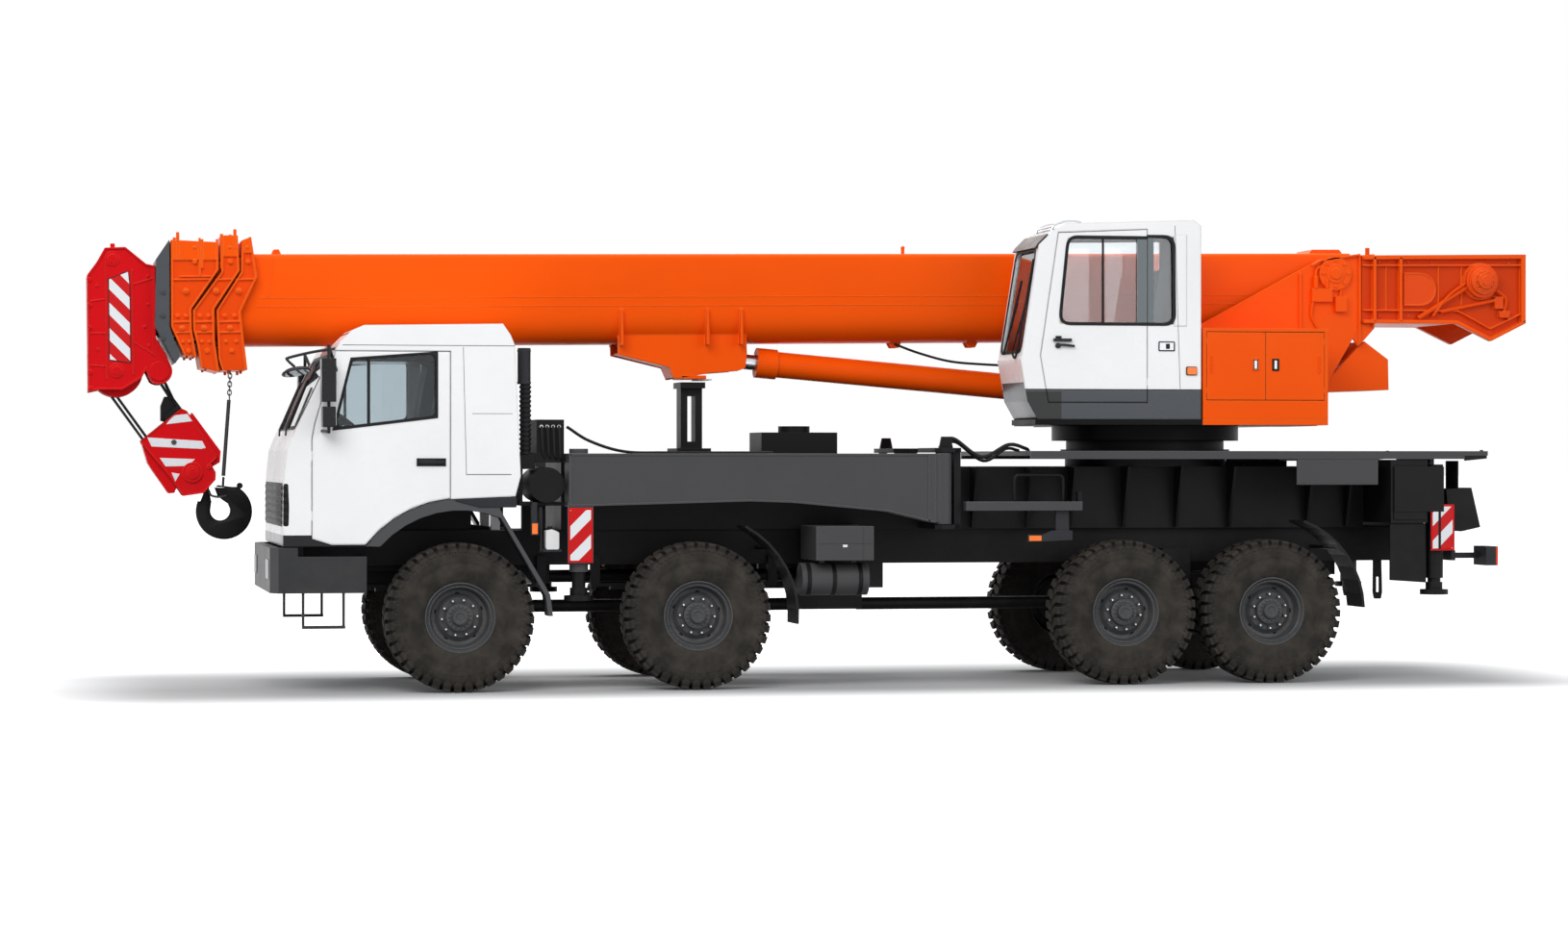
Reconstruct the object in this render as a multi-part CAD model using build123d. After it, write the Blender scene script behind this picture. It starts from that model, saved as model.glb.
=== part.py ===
from build123d import *
import math
import os

# Mobile crane: an 8x8 cab-over truck carrying a slewing telescopic crane.
# Millimetres. The front looks to -X, the left side is -Y, the ground is Z 0,
# and the origin is on the ground under the middle of the whole outline.

# Running gear
TYRE_RADIUS = 630
TYRE_WIDTH = 425
RIM_SEAT_RADIUS = 292
OVERALL_HALF_WIDTH = 1250
TANDEM_GAP = 70
AXLES = (-3341, -1311, 2466, 2466 + 2 * TYRE_RADIUS + TANDEM_GAP)
KINGPIN_Y = 900
KINGPIN_RADIUS = 25
HUB_FACE_Y = 1075
AXLE_BOWL = 215
AXLE_NOSE = 330
SPRING_Y = (436, 516)
ARCH_RADIUS = 1005
RUNNING_GAP = 0.3
MOVING_GAP = 6

# Truck frame
RAIL_OUTER_Y = 430
RAIL_FLANGE = 80
RAIL_WALL = 10
RAIL_BOTTOM = 1050
RAIL_TOP = 1352
RAIL_FRONT_X = -4600
RAIL_REAR_X = 5560
SUBFRAME_HALF_WIDTH = 520
DECK_TOP = 2036
DECK_THICK = 40
DECK_FRONT_X = 1600
DECK_REAR_X = 5787

# Truck cab
BUMPER_FRONT_X = -4923
CAB_HALF_WIDTH = 1250
CAB_WALL = 60
CAB_REAR_X = -2880
CAB_FLOOR = TYRE_RADIUS + ARCH_RADIUS + 77
CAB_TROUGH_HALF_WIDTH = 430
CAB_TROUGH_FLOOR = 2850
DOOR_FRONT_X = -4581
DOOR_REAR_X = -3430
DOOR_THICK = 60
DOOR_GAP = 6
GLASS_THICK = 8

# Front swing-out outriggers
POST_X = 840
POST_Y = 1170
POST_RADIUS = 62
SWING_BEAM_FRONT_X = -2422
SWING_BEAM_Y = (950, 1240)
SWING_BEAM_TOP = 2013
FRONT_JACK_X = -2326
FRONT_JACK_Y = 1120
JACK_TUBE_RADIUS = 80
JACK_ROD_RADIUS = 58
JACK_PAD_RADIUS = 125
JACK_PAD_BOTTOM = 765

# Rear outriggers
REAR_BOX_X = (4890, 5231)
REAR_BOX_Z = (1400, 1960)
REAR_BEAM_HALF_HEIGHT = 120
REAR_JACK_X = 5336
REAR_JACK_Y = 1110

# Turntable
SLEW_X = 3000
SLEW_RING_LOW = (2053, 2131)
SLEW_RING_HIGH = (2131.3, 2263)
SLEW_RING_OUTER_RADIUS = 840
SLEW_RING_INNER_RADIUS = 560
TURNTABLE_FLOOR = (2263, 2311)
SIDE_PLATE_Y = (410, 450)
PIVOT = (4640, 3635)
PIVOT_PIN_RADIUS = 70

# Boom, drawn level and then tipped about its pivot
BOOM_DROOP = 0.65
BOOM_WIDTH = 620
BOOM_TOP = 3828
BOOM_BOTTOM = 3045
BOOM_FRONT_X = -5016
BOOM_REAR_X = 4850
SECTION_STEP = 30
SECTION_WALL = 12
COLLAR_HALF_WIDTH = 400

# Head and hook block
UPPER_AXLE = (-6200, 3790)
LOWER_AXLE = (-6175, 2840)
HEAD_SHEAVE_RADIUS = 195
HEAD_SHEAVES_Y = (-200, -120, 120, 200)
ROPE_RADIUS = 11
HOOK_CENTRE = (-5247, 1492)
BLOCK_SHEAVE = (-5690, 2130)

# Luffing cylinder
LUFF_BASE = (3600, 2450)
LUFF_EYE = (-800, 2838)
LUFF_TUBE_RADIUS = 115
LUFF_ROD_RADIUS = 70

# Operator's cab
OP_CAB_Y = (460, 1250)
OP_CAB_WALL = 45
OP_DOOR_REAR_X = 2645

# Winch
WINCH_CENTRE = (6016, 3578)
WINCH_DRUM_RADIUS = 150


def prism_side(points, y_low, y_high):
    """A prism whose outline lies in X and Z, between two Y planes."""
    plane = Plane(origin=(0, y_high, 0), x_dir=(1, 0, 0), z_dir=(0, -1, 0))
    outline = plane * make_face(Polyline(*points, close=True))
    return extrude(outline, amount=y_high - y_low)


def prism_plan(points, z_low, z_high):
    """A prism whose outline lies in X and Y, between two Z planes."""
    outline = Pos(0, 0, z_low) * make_face(Polyline(*points, close=True))
    return extrude(outline, amount=z_high - z_low)


def prism_front(points, x_low, x_high):
    """A prism whose outline lies in Y and Z, between two X planes."""
    plane = Plane(origin=(x_low, 0, 0), x_dir=(0, 1, 0), z_dir=(1, 0, 0))
    outline = plane * make_face(Polyline(*points, close=True))
    return extrude(outline, amount=x_high - x_low)


def block(x, y, z):
    """A box between the low and high values given for each direction."""
    size = (x[1] - x[0], y[1] - y[0], z[1] - z[0])
    centre = (sum(x) / 2, sum(y) / 2, sum(z) / 2)
    return Pos(*centre) * Box(*size)


def bar(start, end, radius, bore=0):
    """A round bar or tube from one point to another."""
    along = Vector(*end) - Vector(*start)
    plane = Plane(origin=start, z_dir=along)
    shape = Cylinder(radius, along.length, align=(Align.CENTER, Align.CENTER, Align.MIN))
    if bore:
        shape -= Cylinder(bore, along.length, align=(Align.CENTER, Align.CENTER, Align.MIN))
    return plane * shape


def across(x, z, y_low, y_high, radius, bore=0):
    """A round bar or tube that lies along Y."""
    return bar((x, y_low, z), (x, y_high, z), radius, bore)


def mirrored(shape):
    """The same piece on the other side of the vehicle."""
    return mirror(shape, about=Plane.XZ)


def both(shape):
    """A left piece and its right twin, as two solids."""
    return [shape, mirrored(shape)]


def joined(pieces):
    """Several overlapping or touching pieces as one."""
    pieces = list(pieces)
    return pieces[0] + pieces[1:] if len(pieces) > 1 else pieces[0]


def cut(shape, tools):
    """A shape with every tool taken away."""
    for tool in tools:
        shape = shape - tool
    return shape


def save(name, *pieces):
    """Write one node from its solids."""
    solids = []
    for piece in pieces:
        solids += piece.solids()
    shape = solids[0] if len(solids) == 1 else Compound(solids)
    export_step(shape, f"parts/{name}.step")


def arc_points(centre, radius, start, end, count):
    """Points on a circle from one angle to another, in degrees from +X."""
    angles = [start + (end - start) * i / (count - 1) for i in range(count)]
    return [(centre[0] + radius * math.cos(math.radians(a)),
             centre[1] + radius * math.sin(math.radians(a))) for a in angles]


# Truck frame
def chassis_frame():
    """Two channel rails, their cross members and the rear towing jaw."""
    inner = RAIL_OUTER_Y - RAIL_FLANGE
    section = [(RAIL_OUTER_Y, RAIL_BOTTOM), (RAIL_OUTER_Y, RAIL_TOP), (inner, RAIL_TOP),
               (inner, RAIL_TOP - RAIL_WALL), (RAIL_OUTER_Y - RAIL_WALL, RAIL_TOP - RAIL_WALL),
               (RAIL_OUTER_Y - RAIL_WALL, RAIL_BOTTOM + RAIL_WALL),
               (inner, RAIL_BOTTOM + RAIL_WALL), (inner, RAIL_BOTTOM)]
    rail = prism_front(section, RAIL_FRONT_X, RAIL_REAR_X)
    # Columns: place along X, depth along X
    members = [(-4560, 70), (-2300, 60), (-330, 60), (950, 60), (3131, 90), (5060, 60), (5450, 110)]
    web = RAIL_OUTER_Y - RAIL_WALL
    ties = [block((x, x + depth), (-web, web), (RAIL_BOTTOM + 40, RAIL_TOP - 40))
            for x, depth in members]
    jaw = block((RAIL_REAR_X, RAIL_REAR_X + 90), (-130, 130), (1080, 1290))
    jaw -= block((RAIL_REAR_X + 20, RAIL_REAR_X + 90), (-130, 130), (1150, 1220))
    jaw -= bar((RAIL_REAR_X + 55, 0, 1000), (RAIL_REAR_X + 55, 0, 1400), 25)
    return joined([rail, mirrored(rail), *ties, jaw])


def crane_subframe():
    """The welded torsion box on the rails, with its outrigger hinges and rear box."""
    front = block((-2390, 1000), (-500, 500), (RAIL_TOP, 2000))
    main = block((1000, 4890), (-SUBFRAME_HALF_WIDTH, SUBFRAME_HALF_WIDTH), (RAIL_TOP, 1900))
    ribs = []
    for x in (1240, 1740, 2130, 2620, 3110, 3600, 4330, 4700):
        rib = prism_front([(SUBFRAME_HALF_WIDTH, RAIL_TOP + 10), (SUBFRAME_HALF_WIDTH, 1900),
                           (760, 1900), (SUBFRAME_HALF_WIDTH + 60, RAIL_TOP + 10)], x, x + 24)
        ribs += both(rib)
    box = block(REAR_BOX_X, (-1228, 1228), REAR_BOX_Z)
    middle = sum(REAR_BOX_Z) / 2
    for y_side, offset in ((-1, -130), (1, 130)):
        low, high = middle + offset - REAR_BEAM_HALF_HEIGHT, middle + offset + REAR_BEAM_HALF_HEIGHT
        tunnel_y = (-1240, 1100) if y_side < 0 else (-1100, 1240)
        tunnel = block((REAR_BOX_X[0] + 25, REAR_BOX_X[1] - 25), tunnel_y, (low, high))
        box -= tunnel
    tail = block((REAR_BOX_X[1], 5500), (-420, 420), (RAIL_TOP, 1900))
    hinges = []
    for z_low, z_high in ((1360, 1400), (2022, 2062)):
        plate = prism_plan([(780, 480), (1010, 480), (1010, 1130), (930, 1230),
                            (810, 1245), (760, 1200), (760, 1100)], z_low, z_high)
        hinges += both(plate)
    web = block((940, 1000), (480, 1150), (1360, 2062))
    hinges += both(web)
    pin = bar((POST_X, POST_Y, 1360), (POST_X, POST_Y, 2062), POST_RADIUS - 22)
    hinges += both(pin)
    lug = prism_side([(807, 2062), (925, 2062), (905, 2159), (827, 2159)], 1140, 1180)
    hinges += both(lug)
    pedestal = bar((SLEW_X, 0, 1900), (SLEW_X, 0, DECK_TOP - DECK_THICK), 720)
    return joined([front, main, *ribs, box, tail, *hinges, pedestal])


def deck():
    """The flat platform over the frame, its side panels and the step bars."""
    low = DECK_TOP - DECK_THICK
    plate = block((DECK_FRONT_X, DECK_REAR_X), (-1250, 1250), (low, DECK_TOP))
    hole = bar((SLEW_X, 0, low - 10), (SLEW_X, 0, DECK_TOP + 10), 600)
    plate -= hole
    edge = block((DECK_FRONT_X, DECK_REAR_X - 217), (1225, 1250), (1966, low))
    panel = block((4019, 4765), (1215, 1240), (1740, low))
    bracket = block((4019, 4765), (760, 1215), (1950, low))
    rear_plate = block((5560, 5600), (-RAIL_OUTER_Y, RAIL_OUTER_Y), (1750, low))
    pieces = [plate, rear_plate]
    for side in (edge, panel, bracket):
        pieces += both(side)
    step = block((1030, 2065), (1130, 1240), (1520, 1597))
    inner = SUBFRAME_HALF_WIDTH + RUNNING_GAP
    arms = [block((x, x + 24), (inner, 1130), (1530, 1590)) for x in (1300, 1900)]
    steps = both(joined([step, *arms]))
    return [joined(pieces)] + steps


def powertrain():
    """Engine block, gearbox, transfer case and the tubes that join them to the axles."""
    engine = block((-4300, -3150), (-330, 330), (1000, 1600))
    sump = block((-4200, -3600), (-200, 200), (900, 1000))
    gearbox = prism_side([(-3150, 1000), (-3150, 1400), (-2560, 1330), (-2450, 1250),
                          (-2450, 880), (-2600, 880), (-2700, 1000)], -190, 190)
    transfer = block((-250, 330), (-230, 230), (640, 1000))
    hangers = both(block((-60, 140), (230, RAIL_OUTER_Y - RAIL_WALL), (940, 1000)))
    hangers += both(block((-60, 140), (380, RAIL_OUTER_Y - RAIL_WALL), (1000, RAIL_BOTTOM)))
    pieces = [joined([engine, sump, gearbox]), joined([transfer, *hangers])]
    upper, lower = 940, TYRE_RADIUS + 50
    bowl = AXLE_BOWL + 4
    # Columns: start X, end X and height of each shaft
    shafts = [(-2450, -250, upper), (AXLES[1] + AXLE_NOSE, -250, lower),
              (AXLES[0] + AXLE_NOSE, AXLES[1] - bowl, lower),
              (330, AXLES[2] - AXLE_NOSE, lower),
              (AXLES[2] + bowl, AXLES[3] - AXLE_NOSE, lower)]
    for x_start, x_end, z in shafts:
        pieces.append(bar((x_start + RUNNING_GAP, 0, z), (x_end - RUNNING_GAP, 0, z), 55))
    return pieces


def axle(x, steered):
    """One driven axle beam with its round differential housing."""
    z = TYRE_RADIUS
    forward = -1 if x < 0 else 1
    end_y = KINGPIN_Y - 120 if steered else HUB_FACE_Y - RUNNING_GAP
    beam = bar((x, -end_y, z), (x, end_y, z), 75)
    bowl = Pos(x, 0, z) * Sphere(AXLE_BOWL)
    nose = bar((x, 0, z + 50), (x - forward * AXLE_NOSE, 0, z + 50), 80)
    back = bar((x, 0, z + 50), (x + forward * (AXLE_BOWL + 4), 0, z + 50), 80)
    pads = both(block((x - 120, x + 120), SPRING_Y, (z, z + 151)))
    forks = []
    if steered:
        web = block((x - 60, x + 60), (KINGPIN_Y - 130, KINGPIN_Y - 80), (z - 155, z + 155))
        lugs = [block((x - 60, x + 60), (KINGPIN_Y - 130, KINGPIN_Y + 45), (low, low + 30))
                for low in (z - 155, z + 125)]
        pin = bar((x, KINGPIN_Y, z - 155), (x, KINGPIN_Y, z + 155), KINGPIN_RADIUS)
        forks = both(joined([web, *lugs, pin]))
    return joined([beam, bowl, nose, back, *pads, *forks])


def front_axles():
    """Both steering axles on their leaf springs."""
    pieces = []
    for x in AXLES[:2]:
        base = TYRE_RADIUS + 150
        stack = []
        for leaf in range(4):
            half = 820 - leaf * 170
            z = base + 110 - leaf * 27
            stack.append(block((x - half, x + half), SPRING_Y, (z - 28, z)))
        for end in (-1, 1):
            stack.append(block((x + end * 780 - 40, x + end * 780 + 40),
                               (RAIL_OUTER_Y + RUNNING_GAP, SPRING_Y[1]),
                               (base + 84, RAIL_BOTTOM + 80)))
        pieces.append(joined([axle(x, True), *both(joined(stack))]))
    return pieces


def rear_axles():
    """The rear pair of axles under their shared balancing springs."""
    middle = sum(AXLES[2:]) / 2
    stack = []
    for leaf in range(5):
        half = 760 - leaf * 100
        z = TYRE_RADIUS + 150 + leaf * 34
        stack.append(block((middle - half, middle + half), SPRING_Y, (z, z + 34)))
    stack.append(block((middle - 130, middle + 130),
                       (RAIL_OUTER_Y + RUNNING_GAP, SPRING_Y[1] + 30), (800, RAIL_BOTTOM + 120)))
    stack.append(bar((middle, SPRING_Y[0], 860), (middle, SPRING_Y[1] + 70, 860), 110))
    tube = bar((middle, -SPRING_Y[0] - 10, 860), (middle, SPRING_Y[0] + 10, 860), 60)
    return joined([*[axle(x, False) for x in AXLES[2:]], tube, *both(joined(stack))])


def bumper():
    """The steel front bumper with its side skirts and the folding step hoops."""
    plan = [(BUMPER_FRONT_X, -1100), (-4860, -1240), (-4128, -1240), (-4128, -1190), (-4790, -1190),
            (-4850, -1080), (-4850, 1080), (-4790, 1190), (-4128, 1190), (-4128, 1240),
            (-4860, 1240), (BUMPER_FRONT_X, 1100)]
    shell = prism_plan(plan, 845, 1225)
    shell -= block((-4700, -4100), (-1300, 1300), (1150, 1300))
    horn = block((-4860, RAIL_FRONT_X), (340, 430), (1060, 1222))
    pieces = [shell, *both(horn)]
    for y in (-1, 1):
        for x in (-4666, -4330):
            pieces.append(block((x, x + 22), (y * 1215 - 15, y * 1215 + 15), (560, 860)))
        pieces.append(block((-4666, -4308), (y * 1215 - 60, y * 1215 + 15), (551, 575)))
    return joined(pieces)


# Truck cab
CAB_OUTLINE = [(-4822, 1330), (-4818, 1768), (-4789, 2040), (-4745, 2150), (-4385, 2880),
               (-4353, 2939), (-4252, 3040), (-4150, 3085), (-2985, 3104), (-2920, 3010),
               (-2885, 2924), (-2835, 1822), (-2880, 1652), (-3420, 1600), (-3480, 1640)]
FRONT_ARCH = arc_points((AXLES[0], TYRE_RADIUS), ARCH_RADIUS, 88, 142.9, 7)
CAB_BOTTOM = [(-4822, 1236)]


def cab_solid(inset):
    """The cab's outer form, or the same form inset by a wall."""
    outline = CAB_OUTLINE[:13] + FRONT_ARCH + CAB_BOTTOM
    y = CAB_HALF_WIDTH - inset
    plane = Plane(origin=(0, y, 0), x_dir=(1, 0, 0), z_dir=(0, -1, 0))
    face = plane * make_face(Polyline(*outline, close=True))
    if inset:
        face = offset(face, amount=-inset)
    return extrude(face, amount=2 * y)


DOOR_OUTLINE = [(-4386, 2865), (-4421, 2714), (-4555, 2262), (-4581, 2128), (-4581, 1300),
                (-4420, 1250), (-4150, 1250)]
DOOR_ARCH = arc_points((AXLES[0], TYRE_RADIUS), ARCH_RADIUS + DOOR_GAP, 142, 95.1, 6)
DOOR_REAR = [(DOOR_REAR_X, 2865)]
DOOR_WINDOW = [(-4252, 2799), (-3546, 2853), (-3546, 2321), (-4397, 2218)]
SCREEN_Y = 1090


def door_outline():
    return DOOR_OUTLINE + DOOR_ARCH + DOOR_REAR


def grown(points, amount, y_low, y_high):
    """A side prism whose outline is moved outwards by an amount."""
    plane = Plane(origin=(0, y_high, 0), x_dir=(1, 0, 0), z_dir=(0, -1, 0))
    face = plane * make_face(Polyline(*points, close=True))
    if amount:
        face = offset(face, amount=amount, kind=Kind.INTERSECTION)
    return extrude(face, amount=y_high - y_low)


def windscreen_tool(grow):
    """The opening of the raked windscreen, seen from the front."""
    low, high = 2235 - grow, 2840 + grow
    half = SCREEN_Y + grow
    points = [(-half, low), (half, low), (half - 90, high), (-half + 90, high)]
    return prism_front(points, -4900, -4200)


def cab_shell():
    """The hollow sheet-metal cab with its roof trough under the boom."""
    outer = cab_solid(0)
    shell = outer - cab_solid(CAB_WALL)
    trough_y = CAB_TROUGH_HALF_WIDTH
    floor = CAB_TROUGH_FLOOR
    pan = block((-4500, -2800), (-trough_y - 60, trough_y + 60), (floor - 50, 3040)) & outer
    shell += pan
    shell -= block((-5000, -2600), (-trough_y, trough_y), (floor, 3300))
    floor_y = CAB_HALF_WIDTH - 55
    shell += block((-4740, -2900), (-floor_y, floor_y), (CAB_FLOOR - 50, CAB_FLOOR)) & outer
    shell -= windscreen_tool(0)
    inner = CAB_HALF_WIDTH - DOOR_THICK - RUNNING_GAP
    shell = cut(shell, both(grown(door_outline(), DOOR_GAP, inner, CAB_HALF_WIDTH + 10)))
    hinge_x = (DOOR_FRONT_X - DOOR_GAP - 2, DOOR_FRONT_X - RUNNING_GAP)
    hinge_y = (CAB_HALF_WIDTH - 15, CAB_HALF_WIDTH)
    for z in (1450, 1950):
        shell = joined([shell, *both(block(hinge_x, hinge_y, (z, z + 80)))])
    shell -= block((-3000, -2700), (-700, 700), (2300, 2700))
    shell -= block((-4760, -3300), (-1100, 1100), (1200, 1640))
    feet = []
    for x in (-4580, -2990):
        feet += both(block((x, x + 80), (RAIL_OUTER_Y - RAIL_FLANGE, RAIL_OUTER_Y),
                           (RAIL_TOP + RUNNING_GAP, CAB_FLOOR - 40)))
    shell = joined([shell, *feet])
    return shell


def cab_glass():
    """The windscreen and the rear window."""
    screen = windscreen_tool(-RUNNING_GAP) & (cab_solid(20) - cab_solid(20 + GLASS_THICK))
    rear = block((-2882, -2882 + GLASS_THICK), (-699.7, 699.7), (2300.3, 2699.7))
    return [screen, rear]


def cab_interior():
    """Two seats, the dashboard, the engine cover and the steering wheel."""
    floor = CAB_FLOOR
    dash_y = CAB_HALF_WIDTH - 100
    dash = block((-4690, -4380), (-dash_y, dash_y), (1900, 2190)) & cab_solid(CAB_WALL + RUNNING_GAP)
    cover = block((-4370, -3100), (-330, 330), (floor, 2050))
    pieces = [dash, cover]
    for y in (-760, 760):
        base = block((-3950, -3450), (y - 230, y + 230), (floor, 1980))
        squab = block((-3980, -3440), (y - 250, y + 250), (1980, 2120))
        back = prism_side([(-3560, 2120), (-3440, 2120), (-3350, 2790), (-3440, 2790)], y - 240, y + 240)
        pieces.append(joined([base, squab, back]))
    wheel = Plane(origin=(-4290, -760, 2300), z_dir=(0.6, 0, 0.8)) * Torus(230, 16)
    column = bar((-4400, -760, 2150), (-4290, -760, 2297), 30)
    spoke = Plane(origin=(-4290, -760, 2300), z_dir=(0.6, 0, 0.8)) * Box(36, 450, 20)
    pieces.append(joined([wheel, spoke, column]) - dash)
    return pieces


def truck_door():
    """The right-hand door leaf with its window opening, handle and mirrors."""
    low, high = CAB_HALF_WIDTH - DOOR_THICK, CAB_HALF_WIDTH
    leaf = grown(door_outline(), 0, low, high)
    leaf -= prism_side(DOOR_WINDOW, low - 1, high + 1)
    handle = block((-3700, -3480), (high, high + 30), (1925, 1955))
    arms = []
    # Columns: X and height of the arm's foot, height of its outer end
    for x, foot, tip in ((-4380, 2700, 2905), (-4500, 2200, 2190)):
        arms.append(bar((x, high - 10, foot), (-4455, high + 150, tip), 14))
    stem = bar((-4455, high + 150, 2180), (-4455, high + 150, 2915), 14)
    glass = block((-4520, -4400), (high + 60, high + 240), (2440, 2800))
    small = block((-4510, -4405), (high + 60, high + 240), (2230, 2400))
    return joined([leaf, handle, *arms, stem, glass, small])


def truck_door_glass():
    middle = CAB_HALF_WIDTH - DOOR_THICK / 2
    return grown(DOOR_WINDOW, -RUNNING_GAP, middle - GLASS_THICK / 2, middle + GLASS_THICK / 2)


def mudguards():
    """Curved guards over the wheels, each an arc strip on a stay from the frame."""
    centre = (AXLES[0], TYRE_RADIUS)
    under_cab = arc_points(centre, ARCH_RADIUS - RUNNING_GAP, 142.9, 88, 7)
    outer = under_cab + arc_points(centre, ARCH_RADIUS - 5, 84, 72, 3) + [(-2583, 820), (-2560, 640)]
    inner = [(-2600, 640), (-2622, 812)] + arc_points(centre, ARCH_RADIUS - 100, 68, 138.3, 9)
    pieces = both(prism_side(outer + inner, 1000, 1240))
    # Columns: wheel centre X, inner radius, thickness, start and end angle
    table = [(AXLES[1], TYRE_RADIUS + 220, 20, 62, -5), (AXLES[3], TYRE_RADIUS + 200, 20, 70, 2)]
    for x, radius, thick, start, end in table:
        inner = arc_points((x, TYRE_RADIUS), radius, start, end, 9)
        outer = arc_points((x, TYRE_RADIUS), radius + thick, end, start, 9)
        strip = prism_side(inner + outer, 830, 1240)
        angle = math.radians(41)
        stay_x = x + (radius + thick / 2) * math.cos(angle)
        stay_z = TYRE_RADIUS + (radius + thick / 2) * math.sin(angle)
        stay = across(stay_x, stay_z, RAIL_OUTER_Y + RUNNING_GAP, 1100, 16)
        pieces += both(strip + stay)
    return pieces


def side_tanks():
    """Tool box and air tank on the left, fuel tank on the right."""
    box = block((-290, 213), (-1230, -560), (1097, 1389))
    hanger_box = block((-60, -10), (-560, -RAIL_OUTER_Y), (1110, 1340))
    air = bar((-391, -1010, 932), (195, -1010, 932), 140)
    straps = [block((x, x + 40), (-1030, -990), (1050, 1097)) for x in (-220, 60)]
    fuel = block((-450, 700), (560, 1200), (800, 1340))
    hangers = [block((x, x + 60), (RAIL_OUTER_Y, 560), (1100, 1340)) for x in (-200, 440)]
    return [joined([box, hanger_box, *straps, air]), joined([fuel, *hangers])]


def air_intake():
    """The raised air intake behind the cab, the silencer drum and the pump block."""
    stem = bar((-2772, -1050, 1993), (-2772, -1050, 2860), 43)
    head = bar((-2782, -1050, 2600), (-2782, -1050, 2905), 55)
    foot = block((-2826, -2700), (-1110, -700), (1880, 2000))
    drum = bar((-2603, -1180, 1746), (-2603, -520, 1746), 150)
    post = block((-2720, -2640), (-RAIL_OUTER_Y, -350), (RAIL_TOP, 1600))
    carrier = block((-2826, -2445), (-1100, -350), (1570, 1600))
    rack = block((-2826, -2800), (-1100, -500), (1600, 1880))
    pump = block((-2680, -2445), (-1080, -560), (2020, 2300))
    shelf = block((-2800, -2445), (-1090, -550), (1935, 2020))
    stay = block((-2700, -2680), (-1000, -600), (1880, 1940))
    return joined([stem, head, foot, drum, post, carrier, rack, shelf, stay, pump])


def boom_rest():
    """The column and fork that the lowered boom lies on, with the valve chest beside it."""
    base = block((-1333, -1031), (-260, 260), (2000, 2060))
    column = block((-1275, -1084), (-110, 110), (2060, 2587))
    column -= block((-1215, -1144), (-200, 200), (2120, 2520))
    saddle = block((-1290, -1070), (-190, 190), (2587, 2640))
    chest = block((-589, 92), (-300, 260), (2000, 2200))
    lid = bar((-250, -60, 2200), (-250, -60, 2256), 140)
    return [joined([base, column, saddle]), joined([chest, lid])]


def lamps():
    """Head lamps in the bumper, side markers and tail lamps on their arms."""
    pieces = []
    head = block((-4935, BUMPER_FRONT_X - RUNNING_GAP), (700, 960), (960, 1120))
    pieces += both(head)
    tail = block((5800, 5911), (880, 1180), (1020, 1190))
    arm = block((RAIL_REAR_X + 40, 5800), (900, 950), (1080, 1130))
    bracket = block((RAIL_REAR_X, RAIL_REAR_X + 40), (RAIL_OUTER_Y - 60, 950), (1060, 1150))
    pieces += both(joined([tail, arm, bracket]))
    return pieces


def slew_ring():
    """The fixed lower race of the slewing bearing."""
    low, high = SLEW_RING_LOW
    seat = bar((SLEW_X, 0, DECK_TOP), (SLEW_X, 0, low), 760, SLEW_RING_INNER_RADIUS)
    return joined([seat, bar((SLEW_X, 0, low), (SLEW_X, 0, high), 710, SLEW_RING_INNER_RADIUS)])


# Outriggers
def swing_beam():
    """The right front outrigger beam with its hinge barrel and jack tube."""
    y_low, y_high = SWING_BEAM_Y
    outline = [(SWING_BEAM_FRONT_X, 1562), (-869, 1604), (-485, 1591), (331, 1514), (741, 1418),
               (760, 1418), (760, SWING_BEAM_TOP), (SWING_BEAM_FRONT_X, SWING_BEAM_TOP)]
    beam = prism_side(outline, y_low, y_high)
    barrel = bar((POST_X, POST_Y, 1406), (POST_X, POST_Y, SWING_BEAM_TOP + 3), 72)
    arms = block((740, POST_X), (POST_Y - 60, POST_Y + 60), (1422, SWING_BEAM_TOP - 4))
    tube = bar((FRONT_JACK_X, FRONT_JACK_Y, 1010), (FRONT_JACK_X, FRONT_JACK_Y, SWING_BEAM_TOP + 40),
               JACK_TUBE_RADIUS)
    plate = block((-2434, -2218), (y_high - 20, y_high - 1), (1086, 1600))
    web = block((-2340, -2312), (FRONT_JACK_Y, y_high - 15), (1100, 1600))
    body = joined([beam, barrel, arms, tube, plate, web])
    body -= bar((POST_X, POST_Y, 1300), (POST_X, POST_Y, 2100), POST_RADIUS - 22 + RUNNING_GAP)
    body -= bar((FRONT_JACK_X, FRONT_JACK_Y, 900), (FRONT_JACK_X, FRONT_JACK_Y, 1960),
                JACK_ROD_RADIUS + RUNNING_GAP)
    return body


def jack(x, y, top):
    """A jack leg with its round foot."""
    rod = bar((x, y, JACK_PAD_BOTTOM + 30), (x, y, top), JACK_ROD_RADIUS)
    pad = bar((x, y, JACK_PAD_BOTTOM), (x, y, JACK_PAD_BOTTOM + 45), JACK_PAD_RADIUS)
    neck = bar((x, y, JACK_PAD_BOTTOM + 45), (x, y, JACK_PAD_BOTTOM + 110), 75)
    return joined([rod, pad, neck])


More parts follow.
